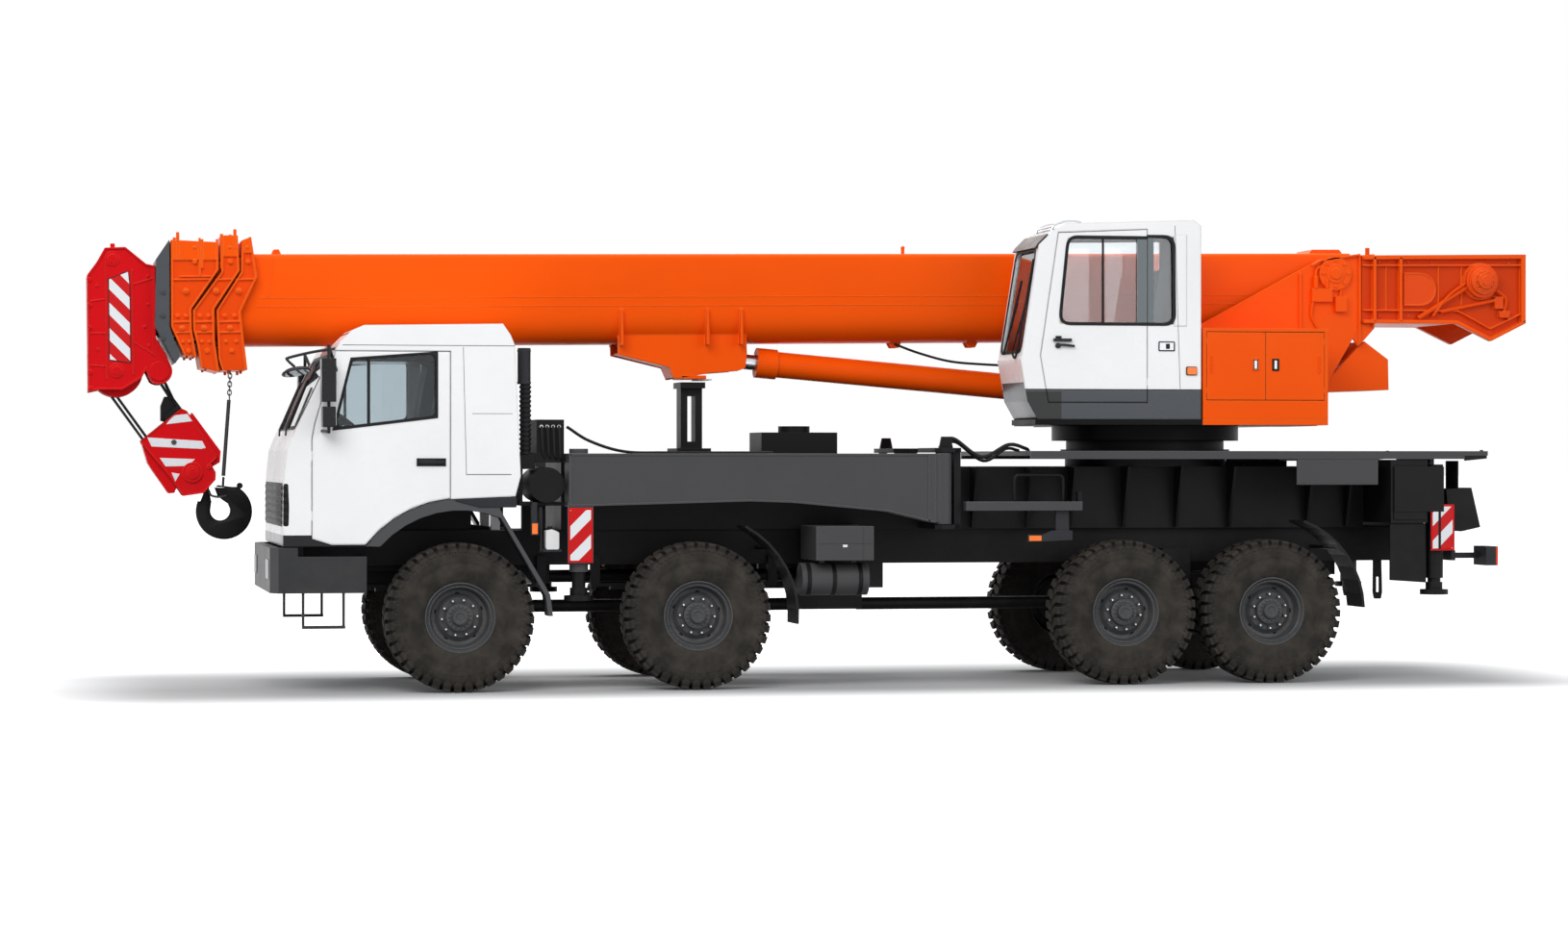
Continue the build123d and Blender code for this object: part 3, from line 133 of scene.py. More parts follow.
class Surface(Nodes):
    """A node material built up step by step on one Principled shader."""

    def __init__(self, name, colour, rough, metal=0.0, coat=0.0, shine=0.16):
        self.material = bpy.data.materials.new(name)
        self.material.use_nodes = True
        super().__init__(self.material.node_tree)
        self.shader = self.tree.nodes["Principled BSDF"]
        self.flat = colour
        self.colour = None
        self.edge_normal = None
        self.give("Base Color", (*colour, 1))
        self.give("Roughness", rough)
        self.give("Metallic", metal)
        self.give("Coat Weight", coat)
        self.give("Coat Roughness", 0.12)
        self.give("Specular IOR Level", 0.5 if metal else shine)
        self.place = self.node("ShaderNodeTexCoord").outputs["Object"]

    def give(self, name, value):
        self.shader.inputs[name].default_value = value

    def axis(self, letter):
        made = self.node("ShaderNodeSeparateXYZ")
        self.link(self.place, made.inputs[0])
        return made.outputs[letter]

    def noise(self, scale, detail=4.0, rough=0.55, stretch=None):
        made = self.node("ShaderNodeTexNoise")
        made.inputs["Scale"].default_value = scale
        made.inputs["Detail"].default_value = detail
        made.inputs["Roughness"].default_value = rough
        source = self.place
        if stretch:
            mapping = self.node("ShaderNodeMapping")
            mapping.inputs["Scale"].default_value = stretch
            self.link(self.place, mapping.inputs["Vector"])
            source = mapping.outputs[0]
        self.link(source, made.inputs["Vector"])
        return made.outputs["Fac"]

    def below(self, value, limit):
        return self.math("LESS_THAN", value, limit)

    def above(self, value, limit):
        return self.math("GREATER_THAN", value, limit)

    def all_of(self, *masks):
        """1 where every mask is 1."""
        total = masks[0]
        for mask in masks[1:]:
            total = self.times(total, mask)
        return total

    def lean(self, slope):
        """X less a slope times Z, to cut along a raked line."""
        return self.minus(self.axis("X"), self.times(self.axis("Z"), slope))

    def side_distance(self):
        return self.math("ABSOLUTE", self.axis("Y"))

    def ramp(self, value, low, high):
        """0 below low and 1 above high, straight in between."""
        made = self.node("ShaderNodeMapRange")
        made.inputs["From Min"].default_value = low
        made.inputs["From Max"].default_value = high
        self.link(value, made.inputs["Value"])
        return made.outputs[0]

    def tint(self, mask, colour):
        """Mix another colour in where the mask is 1."""
        made = self.node("ShaderNodeMix", data_type="RGBA")
        if self.colour is None:
            made.inputs["A"].default_value = (*self.flat, 1)
        else:
            self.link(self.colour, made.inputs["A"])
        made.inputs["B"].default_value = (*colour, 1)
        self.link(mask, made.inputs["Factor"])
        self.colour = made.outputs["Result"]
        self.link(self.colour, self.shader.inputs["Base Color"])
        return self

    def patches(self, colour, share, scale, detail, low, high):
        """Another colour in soft patches of noise, at most by the share."""
        mask = self.ramp(self.noise(scale, detail), low, high)
        return self.tint(self.times(mask, share), colour)

    def rough(self, mask, low, high):
        made = self.node("ShaderNodeMapRange")
        made.inputs["To Min"].default_value = low
        made.inputs["To Max"].default_value = high
        self.link(mask, made.inputs["Value"])
        self.link(made.outputs[0], self.shader.inputs["Roughness"])
        return self

    def bevel(self, radius):
        """Soft edges of a given radius in metres, for welded and pressed plate."""
        made = self.node("ShaderNodeBevel", samples=4)
        made.inputs["Radius"].default_value = radius
        self.edge_normal = made.outputs[0]
        self.link(self.edge_normal, self.shader.inputs["Normal"])
        return self

    def edges(self, strength, colour):
        """A painted highlight: a lighter line where the soft edge turns away from the plate."""
        true_normal = self.node("ShaderNodeNewGeometry").outputs["Normal"]
        product = self.node("ShaderNodeVectorMath", operation="DOT_PRODUCT")
        self.link(self.edge_normal, product.inputs[0])
        self.link(true_normal, product.inputs[1])
        turned = self.minus(1.0, product.outputs["Value"], clamp=True)
        return self.tint(self.times(turned, strength, clamp=True), colour)

    def bump(self, height, strength, distance):
        made = self.node("ShaderNodeBump")
        made.inputs["Strength"].default_value = strength
        made.inputs["Distance"].default_value = distance
        self.link(height, made.inputs["Height"])
        if self.edge_normal:
            self.link(self.edge_normal, made.inputs["Normal"])
        self.link(made.outputs[0], self.shader.inputs["Normal"])
        return self


def lighter(colour, factor):
    return tuple(min(1.0, c * factor) for c in colour)


def paint(name, colour, rough, soft, edge, highlight_colour=None, coat=0.10, dust=0.10, shine=0.16):
    """Sprayed paint: slight changes of tone, painted highlights on the edges, a breath of dust low down."""
    surface = Surface(name, colour, rough, coat=coat, shine=shine)
    surface.bevel(soft)
    surface.patches(lighter(colour, 0.80), 0.35, 0.9, 3, 0.35, 0.70)
    surface.edges(edge, highlight_colour or lighter(colour, 1.7))
    low = surface.ramp(surface.axis("Z"), 2.2, 0.2)
    patch = surface.ramp(surface.noise(6.0, 6), 0.42, 0.75)
    surface.tint(surface.times(surface.times(low, patch), dust), (0.20, 0.17, 0.14))
    surface.rough(surface.noise(3.0, 5), rough - 0.08, rough + 0.12)
    surface.bump(surface.noise(38.0, 2), 0.05, 0.002)
    return surface


# Paints: name, colour, roughness, edge radius, strength and colour of the painted edge highlight, clear coat,
# dust, shine
PAINTS = {
    "orange": ("boom_orange", ORANGE, 0.36, 0.012, 2.2, LIT_ORANGE, 0.02, 0.10, 0.05),
    "strong_shade_orange": ("winch_orange", STRONG_SHADE_ORANGE, 0.40, 0.008, 3.0, (1.0, 0.22, 0.03), 0.02, 0.10, 0.05),
    "collar_orange": ("collar_orange", MILD_SHADE_ORANGE, 0.34, 0.008, 3.0, LIT_ORANGE, 0.04, 0.10, 0.06),
    "white": ("cab_white", WHITE, 0.26, 0.030, 0.0, None, 0.15, 0.05),
    "red": ("head_red", RED, 0.32, 0.008, 3.0, (0.95, 0.06, 0.04), 0.03, 0.10, 0.06),
    "grey": ("beam_grey", FRAME_GREY, 0.42, 0.008, 3.5, (0.22, 0.22, 0.23), 0.03),
    "black": ("frame_black", FRAME_BLACK, 0.45, 0.006, 1.5, (0.040, 0.040, 0.042), 0.0, 0.06, 0.12),
    "band": ("band_grey", BAND_GREY, 0.38, 0.010, 1.5, None, 0.10, 0.0),
    "rim": ("rim_grey", (0.058, 0.060, 0.063), 0.36, 0.006, 3.0, (0.20, 0.21, 0.22), 0.05, 0.20),
    "hook_stripe": ("hook_stripe", STRIPE_WHITE, 0.32, 0.002, 0.0, None, 0.10, 0.02),
    "bumper": ("bumper_grey", (0.033, 0.034, 0.036), 0.42, 0.010, 2.0, (0.12, 0.12, 0.125), 0.02),
}
# Plastic and rubber trim: name, colour, roughness
MOULDINGS = {
    "plastic": ("trim_plastic", PLASTIC), "seal": ("window_seal", BLACK, 0.5),
    "inside": ("cab_lining", (0.085, 0.105, 0.115), 0.6), "bottle": ("white_bottle", (0.72, 0.72, 0.70), 0.4),
    "line": ("panel_line", (0.05, 0.05, 0.052)), "visor": ("visor_brown", (0.045, 0.020, 0.014), 0.4),
}


def made_materials():
    """Every finish on the crane, by a plain name."""
    made = {look: paint(*values) for look, values in PAINTS.items()}
    made |= {look: moulded(*values) for look, values in MOULDINGS.items()}
    made |= {
        "steel": bare_steel(), "dark_steel": cast_steel(), "rubber": tyre_rubber(), "cloth": seat_cloth(),
        "glass": pane("window_glass", (0.86, 0.90, 0.92), 0.02),
        "shaded_glass": pane("shaded_glass", (0.62, 0.69, 0.72), 0.02),
        "lens_clear": pane("lamp_glass", (0.9, 0.92, 0.95), 0.08),
        "lens_amber": lens("amber_lens", AMBER), "lens_red": lens("red_lens", (0.72, 0.02, 0.01)),
        "mirror": Surface("mirror_face", (0.75, 0.78, 0.80), 0.05, metal=1.0),
        "rail": Surface("rail_silver", (0.55, 0.56, 0.58), 0.30, metal=0.6),
        "pane_dark": Surface("pane_over_pillar", (0.085, 0.110, 0.122), 0.10, coat=0.4),
        "cab_shell": cab_paint(), "guards": guards_paint(), "lamp": lamp_finish(),
        "stripes_jack": striped("jack_stripes", 1.0, 0.245, 0.07),
        "stripes_head": striped("head_stripes", -1.0, 0.215, 0.02),
        "cab_two_tone": two_tone("op_cab_paint", WHITE, BAND_GREY, 2.570),
        "truck_door": side_fittings("door_paint", WHITE, BODY_SIDE / 1000 + 0.0012),
        "turntable": turntable_paint(),
    }
    return {look: surface.material for look, surface in made.items()}


def moulded(name, colour, rough=0.48):
    """Grained plastic or rubber trim, with painted highlights on its edges."""
    surface = Surface(name, colour, rough)
    surface.bevel(0.008)
    surface.patches(lighter(colour, 1.45), 0.5, 2.2, 4, 0.4, 0.7)
    surface.edges(2.0, lighter(colour, 2.6))
    surface.rough(surface.noise(9.0, 4), rough - 0.10, rough + 0.12)
    surface.bump(surface.noise(260.0, 2), 0.12, 0.001)
    return surface


def bare_steel():
    surface = Surface("bright_steel", (0.62, 0.63, 0.65), 0.22, metal=1.0)
    surface.bevel(0.003)
    surface.tint(surface.ramp(surface.noise(5.0, 5, stretch=(1, 8, 8)), 0.45, 0.75), (0.42, 0.43, 0.45))
    surface.rough(surface.noise(30.0, 4, stretch=(1, 10, 10)), 0.14, 0.34)
    return surface


def cast_steel():
    surface = Surface("cast_black_steel", (0.022, 0.023, 0.024), 0.42, metal=0.3)
    surface.bevel(0.010)
    surface.patches((0.05, 0.048, 0.046), 0.6, 7.0, 5, 0.45, 0.7)
    # Lighter edges: painted highlights
    surface.edges(2.0, (0.13, 0.13, 0.13))
    surface.bump(surface.noise(120.0, 3), 0.25, 0.002)
    return surface


def tyre_rubber():
    """Dusty rubber: paler and browner on the lugs and sidewall, painted shade between the lugs, painted
    highlights on the edges.
    """
    surface = Surface("tyre_rubber", RUBBER, 0.82)
    surface.bevel(0.006)
    squares = [surface.times(surface.axis(a), surface.axis(a)) for a in "XZ"]
    radius = surface.math("SQRT", surface.math("ADD", *squares))
    # Painted shade in the grooves between the lugs
    deep = surface.times(surface.ramp(radius, 0.615, 0.600), surface.ramp(radius, 0.575, 0.590))
    surface.patches((0.092, 0.078, 0.065), 0.55, 5.0, 6, 0.40, 0.70)
    surface.patches((0.028, 0.025, 0.022), 0.35, 23.0, 5, 0.45, 0.72)
    surface.tint(surface.times(deep, 0.85), (0.018, 0.016, 0.015))
    rings = surface.math("SINE", surface.times(radius, 520.0))
    surface.edges(1.2, (0.16, 0.14, 0.12))
    wear = surface.math("ADD", surface.times(rings, 0.25), surface.noise(90.0, 4))
    surface.bump(wear, 0.30, 0.003)
    return surface


def seat_cloth():
    surface = Surface("seat_cloth", (0.10, 0.13, 0.145), 0.9)
    surface.tint(surface.ramp(surface.noise(420.0, 2), 0.4, 0.6), (0.06, 0.08, 0.09))
    surface.bump(surface.noise(600.0, 2), 0.4, 0.001)
    return surface


def guards_paint():
    """Grey guards over the first wheels beside the cab, black ones elsewhere."""
    surface = paint("guard_paint", FRAME_BLACK, 0.42, 0.008, 1.5, (0.10, 0.10, 0.105), 0.0, 0.05)
    ahead, outside = surface.below(surface.axis("X"), -2.5), surface.above(surface.side_distance(), 1.150)
    return surface.tint(surface.all_of(ahead, outside), (0.072, 0.075, 0.078))


def pane(name, colour, rough):
    """Thin clear glass with a faint film of dust."""
    surface = Surface(name, colour, rough, shine=0.06)
    surface.give("Transmission Weight", 1.0)
    surface.give("IOR", 1.45)
    surface.rough(surface.ramp(surface.noise(4.0, 6), 0.5, 0.8), rough, rough + 0.05)
    return surface


def lens(name, colour):
    """Ribbed lamp lens that lights up a little by itself."""
    surface = Surface(name, colour, 0.18, coat=0.6)
    surface.give("Emission Color", (*colour, 1))
    surface.give("Emission Strength", 0.25)
    ribs = surface.math("SINE", surface.times(surface.axis("Z"), 900.0))
    surface.tint(surface.times(surface.ramp(ribs, 0.2, 1.0), 0.35), lighter(colour, 0.6))
    surface.bump(ribs, 0.4, 0.002)
    return surface


def two_tone(name, upper, lower, split):
    """Paint that changes colour at a height, with a thin dark line between."""
    surface = paint(name, upper, 0.26, 0.022, 0.0, dust=0.0, coat=0.15)
    x, y, z = (surface.axis(letter) for letter in "XYZ")
    above, below = surface.above, surface.below
    surface.tint(below(z, split), lower)
    surface.tint(below(surface.math("ABSOLUTE", surface.minus(z, split)), 0.004), (0.015, 0.015, 0.016))
    # Dark front corner below the windscreen
    surface.tint(surface.all_of(below(x, 1.874), below(z, 2.55)), (0.030, 0.031, 0.030))
    # Lining on the inner faces
    within = surface.all_of(above(y, -1.225), below(y, -0.485), above(z, 2.345), below(z, 3.975),
                            above(surface.lean(0.155), 1.135), below(x, 3.105))
    surface.tint(within, LINING)
    # Black handles outside the skin
    return surface.tint(above(surface.side_distance(), BODY_SIDE / 1000 + 0.001), (0.012, 0.012, 0.013))


def cab_paint():
    """White cab outside, dark lining inside, black below the door line."""
    surface = paint("cab_paint", WHITE, 0.26, 0.020, 0.0, dust=0.03, coat=0.15)
    x, height, side = surface.axis("X"), surface.axis("Z"), surface.side_distance()
    above, below = surface.above, surface.below
    surface.tint(below(height, 1.33), BLACK)
    # Lining on the inner faces, but not in the roof's trough
    within = surface.all_of(above(surface.lean(0.493), -5.765), below(x, -2.90), below(height, 3.03),
                            above(height, 1.70), below(side, 1.205), above(x, -4.775))
    trough = surface.all_of(below(side, 0.435), above(height, 2.845))
    return surface.tint(surface.minus(within, trough, clamp=True), LINING)


def lamp_finish():
    """Black lamp bodies with clear faces in front and red ones at the back."""
    surface = moulded("lamp_body", PLASTIC)
    x = surface.axis("X")
    surface.tint(surface.below(x, -4.925), (0.70, 0.72, 0.75))
    return surface.tint(surface.above(x, 5.893), (0.85, 0.06, 0.01))


def striped(name, slope, period, shift):
    """Red and white bands across a plate, at 45 degrees."""
    surface = paint(name, (0.62, 0.004, 0.006), 0.32, 0.002, 0.0, dust=0.04)
    run = surface.minus(surface.axis("Z"), surface.times(surface.axis("X"), slope))
    part = surface.math("FRACT", surface.math("DIVIDE", surface.math("ADD", run, shift + 20.0), period))
    return surface.tint(surface.below(part, 0.48), STRIPE_WHITE)


def side_fittings(name, colour, side):
    """White door paint, with black plastic for what stands out past the door's face."""
    surface = paint(name, colour, 0.26, 0.030, 0.0, dust=0.03, coat=0.15)
    return surface.tint(surface.above(surface.side_distance(), side), (0.014, 0.014, 0.015))


def turntable_paint():
    """Orange plates and floor, black slewing race and black floor under the operator's cab."""
    surface = paint("turntable_paint", ORANGE, 0.36, 0.010, 2.2, LIT_ORANGE, 0.02, shine=0.05)
    x, z = surface.axis("X"), surface.axis("Z")
    # Below the top of the slewing race, then the floor under the cab
    surface.tint(surface.below(z, 2.2635), FRAME_BLACK)
    return surface.tint(surface.all_of(surface.below(x, 3.150), surface.below(z, 2.330)), FRAME_BLACK)


MATERIAL = made_materials()

# Which finish each imported node shows
NODE_FINISH = {
    "chassis_frame": "black", "crane_subframe": "black", "deck": "grey", "powertrain": "black",
    "front_axles": "black", "rear_axles": "black", "bumper": "bumper", "cab_shell": "cab_shell",
    "cab_glass": "shaded_glass", "cab_interior": "inside", "mudguards": "guards", "side_tanks": "grey",
    "air_intake": "black", "boom_rest": "black", "lamps": "lamp", "slew_ring": "black",
    "turntable_frame": "turntable", "winch_frame": "orange", "winch_drum": "orange",
    "counterweight": "orange", "machinery_housing": "orange", "machinery_door_front": "orange",
    "machinery_door_rear": "orange", "operator_cab": "cab_two_tone", "operator_glass": "glass",
    "operator_seat": "cloth", "operator_door": "cab_two_tone", "operator_door_glass": "glass",
    "luff_tube": "orange", "luff_rod": "steel", "boom_base": "orange", "boom_section_2": "orange",
    "boom_section_3": "orange", "boom_head": "red", "hook_block": "red",
}
SIDED_FINISH = {
    "door": "truck_door", "door_glass": "shaded_glass", "swing_beam": "grey", "front_jack": "black",
    "rear_beam": "black", "rear_jack": "black", "knuckle_1": "black", "knuckle_2": "black",
    "wheel_1": "rim", "wheel_2": "rim", "wheel_3": "rim", "wheel_4": "rim",
}


def dress_nodes():
    """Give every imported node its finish."""
    finish = dict(NODE_FINISH)
    for name, look in SIDED_FINISH.items():
        for side in ("left", "right"):
            finish[f"{name}_{side}"] = look
    for name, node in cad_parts.items():
        look = MATERIAL[finish[name]]
        for slot in node.material_slots:
            slot.material = look
        if not node.material_slots:
            node.data.materials.append(look)


# Shapes
class Kit:
    """Many small shapes in millimetres, gathered into one mesh piece."""

    def __init__(self, name):
        self.name = name
        self.mesh = bmesh.new()
        self.looks = []
        self.look = 0

    def use(self, look):
        """Later shapes take this finish."""
        if look not in self.looks:
            self.looks.append(look)
        self.look = self.looks.index(look)
        return self

    def faces(self, points, faces):
        made = [self.mesh.verts.new([c / 1000 for c in p]) for p in points]
        for face in faces:
            built = self.mesh.faces.new([made[i] for i in face])
            built.material_index = self.look
        return self

    def loft(self, rings, caps=True):
        """Skin between rings that all have the same number of points."""
        count = len(rings[0])
        points = [p for ring in rings for p in ring]
        faces = []
        for r in range(len(rings) - 1):
            for i in range(count):
                a, b = r * count + i, r * count + (i + 1) % count
                faces.append((a, b, b + count, a + count))
        if caps:
            faces.append(tuple(reversed(range(count))))
            last = (len(rings) - 1) * count
            faces.append(tuple(range(last, last + count)))
        return self.faces(points, faces)

    def prism(self, outline, low, high, axis="Y"):
        """An outline pushed from one plane to another along Y or X."""
        return self.loft([[in_space(point, level, axis) for point in outline] for level in (low, high)])

    def plates(self, outline, low, high):
        """The same prism along Y on the left and on the right."""
        return self.prism(outline, low, high).prism(outline, -high, -low)

    def block(self, x, y, z):
        return self.prism([(x[0], z[0]), (x[1], z[0]), (x[1], z[1]), (x[0], z[1])], *y)

    def blocks(self, x, y, z):
        """The same block on the left and on the right."""
        return self.block(x, y, z).block(x, (-y[1], -y[0]), z)

    def bar(self, start, end, radius, sides=16):
        """A round bar between two points."""
        turn = (Vector(end) - Vector(start)).to_track_quat("Z", "Y")
        circle = [turn @ Vector((radius * math.cos(a), radius * math.sin(a), 0))
                  for a in steps(0, math.tau, sides)]
        return self.loft([[Vector(centre) + out for out in circle] for centre in (start, end)])

    def pin(self, place, low, high, radius, sides=32):
        """A round bar along Y at a place in X and Z."""
        x, z = place
        return self.bar((x, low, z), (x, high, z), radius, sides)

    def pins(self, place, low, high, radius, sides=32):
        """The same pin on the left and on the right."""
        return self.pin(place, low, high, radius, sides).pin(place, -high, -low, radius, sides)

    def pipe(self, route, radius, sides=8, cuts=6):
        """A round pipe along a smooth line through the route's points."""
        line = smooth_line(route, cuts)
        rings = []
        side = None
        for i, point in enumerate(line):
            ahead = (line[min(i + 1, len(line) - 1)] - line[max(i - 1, 0)]).normalized()
            if side is None:
                side = ahead.orthogonal().normalized()
            side = (side - ahead * side.dot(ahead)).normalized()
            up = ahead.cross(side)
            rings.append([point + (side * math.cos(a) + up * math.sin(a)) * radius
                          for a in steps(0, math.tau, sides)])
        return self.loft(rings)

    def lathe(self, centre, profile, sides=32, axis=(0, 1, 0)):
        """A profile of pairs, distance along the axis and radius, turned round it."""
        turn = Vector(axis).to_track_quat("Z", "Y")
        rings = [[Vector(centre) + turn @ Vector((radius * math.cos(a), radius * math.sin(a), out))
                  for a in steps(0, math.tau, sides)] for out, radius in profile]
        return self.loft(rings, caps=False)

    def between(self, outer, inner, low, high):
        """A flat frame between two outlines, along Y."""
        rings = [[in_space(point, level) for point in outline] for outline, level in
                 ((outer, low), (outer, high), (inner, high), (inner, low), (outer, low))]
        return self.loft(rings, caps=False)

    def band(self, outline, width, low, high):
        """A flat frame of a width inside a closed outline, along Y."""
        rings = (outline, shrunk(outline, width))
        points = [in_space(point, level) for level in (low, high) for ring in rings for point in ring]
        count = len(outline)
        faces = []
        for i in range(count):
            j = (i + 1) % count
            faces += [(i, j, count + j, count + i), (count + j, 3 * count + j, 3 * count + i, count + i),
                      (2 * count + j, 2 * count + i, 3 * count + i, 3 * count + j),
                      (i, 2 * count + i, 2 * count + j, j)]
        return self.faces(points, faces)

    def bands(self, outline, width, low, high):
        """The same band on the left and on the right."""
        return self.band(outline, width, low, high).band(outline, width, -high, -low)

    def raked_frame(self, corners, foot, slope, outer, inner, reach):
        """A frame on a raked screen: corners in Y and Z, X from the height, lips that stand out."""
        rings = [[(foot[0] + (z - foot[1]) * slope - out, y, z) for y, z in shrunk(corners, width)]
                 for width, out in ((-outer, 0), (-outer, reach), (inner, reach), (inner, 0))]
        return self.loft([*rings, rings[0]], caps=False)

    def tip(self):
        """Turn everything so far down with the boom."""
        pivot = Vector((BOOM_PIVOT[0], 0, BOOM_PIVOT[1])) / 1000
        turn = Matrix.Rotation(-BOOM_DROOP, 3, "Y")
        for vert in self.mesh.verts:
            vert.co = pivot + turn @ (vert.co - pivot)
        return self

    def data(self, sharp=38):
        """The finished mesh, with sharp edges from an angle up."""
        bmesh.ops.recalc_face_normals(self.mesh, faces=self.mesh.faces)
        data = bpy.data.meshes.new(self.name)
        self.mesh.to_mesh(data)
        self.mesh.free()
        data.shade_smooth()
        data.set_sharp_from_angle(angle=math.radians(sharp))
        for look in self.looks:
            data.materials.append(MATERIAL[look])
        return data

    def done(self, body, slot, bevel=0):
        """Make the piece and let it ride on its body."""
        return placed(self.name, self.data(), body, bevel)


def placed(name, data, body, bevel=0, place=None):
    """A mesh as a piece on its body."""
    piece = bpy.data.objects.new(name, data)
    bpy.context.scene.collection.objects.link(piece)
    if place:
        piece.matrix_world = place
    if bevel:
        rounding = piece.modifiers.new("rounded_edges", "BEVEL")
        rounding.width = bevel / 1000
        rounding.segments = 2
        rounding.limit_method = "ANGLE"
        rounding.angle_limit = math.radians(38)
        rounding.harden_normals = True
    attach(piece, body)
    return piece


def in_space(point, level, axis="Y"):
    """A flat outline's point, set at a level along X or Y."""
    a, b = point
    return (level, a, b) if axis == "X" else (a, level, b)


def span(side, near, far):
    """A stretch of Y on one side of the vehicle, from low to high."""
    return sorted((side * near, side * far))


def steps(start, end, count):
    """Even steps from start up to, and without, end."""
    return [start + (end - start) * i / count for i in range(count)]


def smooth_line(route, cuts):
    """Points on a smooth curve through the route's points."""
    route = [Vector(p) for p in route]
    if len(route) == 2:
        return route
    ends = [route[0] * 2 - route[1], *route, route[-1] * 2 - route[-2]]
    line = []
    for i in range(1, len(ends) - 2):
        a, b, c, d = ends[i - 1:i + 3]
        for k in range(cuts):
            t = k / cuts
            line.append(0.5 * (2 * b + (c - a) * t + (2 * a - 5 * b + 4 * c - d) * t * t
                               + (3 * b - a - 3 * c + d) * t ** 3))
    return line + [route[-1]]


def rounded(outline, radius):
    """The outline with its corners rounded, each by a radius that its edges allow."""
    corners = [Vector(p) for p in outline]
    points = []
    for i, corner in enumerate(corners):
        back, ahead = corners[i - 1] - corner, corners[(i + 1) % len(corners)] - corner
        half = back.angle(ahead) / 2
        reach = min(radius / math.tan(half), 0.45 * back.length, 0.45 * ahead.length)
        first, last = corner + back.normalized() * reach, corner + ahead.normalized() * reach
        for k in range(CORNER_CUTS + 1):
            t = k / CORNER_CUTS
            points.append(tuple(first * (1 - t) ** 2 + corner * 2 * t * (1 - t) + last * t * t))
    return points


def nearly_sharp(outline):
    """The outline with as many points as a rounded one, its corners almost sharp."""
    return rounded(outline, 3)


def shrunk(outline, width):
    """The outline moved inwards by a width."""
    corners = [Vector(p) for p in outline]
    area = sum(a.x * b.y - b.x * a.y for a, b in zip(corners, corners[1:] + corners[:1]))
    turn = 1 if area > 0 else -1
    points = []
    for i, corner in enumerate(corners):
        before, after = corner - corners[i - 1], corners[(i + 1) % len(corners)] - corner
        normals = [Vector((-e.y, e.x)).normalized() * turn for e in (before, after)]
        middle = (normals[0] + normals[1]).normalized()
        points.append(tuple(corner + middle * width / max(0.4, middle.dot(normals[0]))))
    return points


# Wheels
LUGS = 40
LUG_FLOOR = 598
LUG_STAGGER = 2.25


def on_wheel(radius, angle, out):
    """A point at a radius and an angle about the wheel's own axis."""
    return (radius * math.cos(angle), out, radius * math.sin(angle))


def tyre_mesh():
    """One tyre about its own centre, its outer face towards -Y."""
    kit = Kit("tyre").use("rubber")
    half = [(165, RIM_RADIUS), (180, 306), (188, 330), (205, 385), (212.5, 440), (209.5, 478),
            (211.5, 482), (210.5, 490), (205.5, 516), (206.5, 520), (200, 545), (186, 575), (160, 594),
            (100, LUG_FLOOR)]
    profile = [(-out, radius) for out, radius in half] + half[::-1]
    kit.lathe((0, 0, 0), profile + profile[:1], 80)
    # Columns: distance out from the middle, degrees round the wheel; the first two are the shoulder
    lug = [(204, -3.1), (204, 3.1), (118, 3.1), (62, 5.6), (12, 5.6), (12, 1.2), (50, 1.2), (104, -3.1)]
    # Columns: radius, radius at the shoulder, spread round the wheel, squeeze across it
    levels = [(LUG_FLOOR - 12, 556, 1.0, 1.0), (TYRE_RADIUS, TYRE_RADIUS - 6, 0.90, 0.965)]
    for side in (-1, 1):
        for start in steps(side * LUG_STAGGER, side * LUG_STAGGER + 360, LUGS):
            kit.loft([[on_wheel(shoulder if k < 2 else radius,
                                math.radians(start + (turn - 2) * spread + 2), side * out * squeeze)
                       for k, (out, turn) in enumerate(lug)]
                      for radius, shoulder, spread, squeeze in levels])
            # A low rib on the sidewall below each lug
            rib = [on_wheel(radius, math.radians(start + turn), side * out) for out, radius, turn in
                   ((208.5, 500, -0.6), (208.5, 500, 0.6), (202, 560, 1.5), (202, 560, -1.5))]
            kit.loft([rib, [(x * 0.99, y * 0.96, z * 0.99) for x, y, z in rib]])
    return kit.data(32)


def rim_mesh():
    """One deep steel rim with its hub, nuts and cap, its outer face towards -Y."""
    kit = Kit("rim").use("rim")
    # Columns: distance out from the middle, radius
    kit.lathe((0, 0, 0), [
        (168, 300), (174, 303), (172, 290), (100, 276), (-135, 272), (-150, 292), (-168, 300),
        (-176, 297), (-176, 288), (-158, 280), (-150, 270), (-158, 262), (-152, 254), (-100, 246),
        (-60, 232), (-52, 205), (-66, 182), (-78, 165), (-78, 0.5)], 64)
    kit.lathe((0, 0, 0), [(-78, 118), (-118, 116), (-124, 108), (-124, 70), (-158, 66), (-166, 58),
                          (-166, 40), (-158, 36), (-158, 0.5)], 40)
    # Columns: finish, how many, first angle, radius, distances out, size and sides of each nut
    for look, count, first, radius, near, far, size, sides in (
            ("rim", 10, 0.2, 150, -76, -104, 15, 6), ("steel", 10, 0.2, 150, -100, -122, 7.5, 8),
            ("rim", 16, 0.0, 92, -122, -136, 7.8, 6), ("seal", 5, 0.5, 207, -45, -54.5, 17, 16)):
        kit.use(look)
        for angle in steps(first, first + math.tau, count):
            kit.bar(on_wheel(radius, angle, near), on_wheel(radius, angle, far), size, sides)
    return kit.data(32)


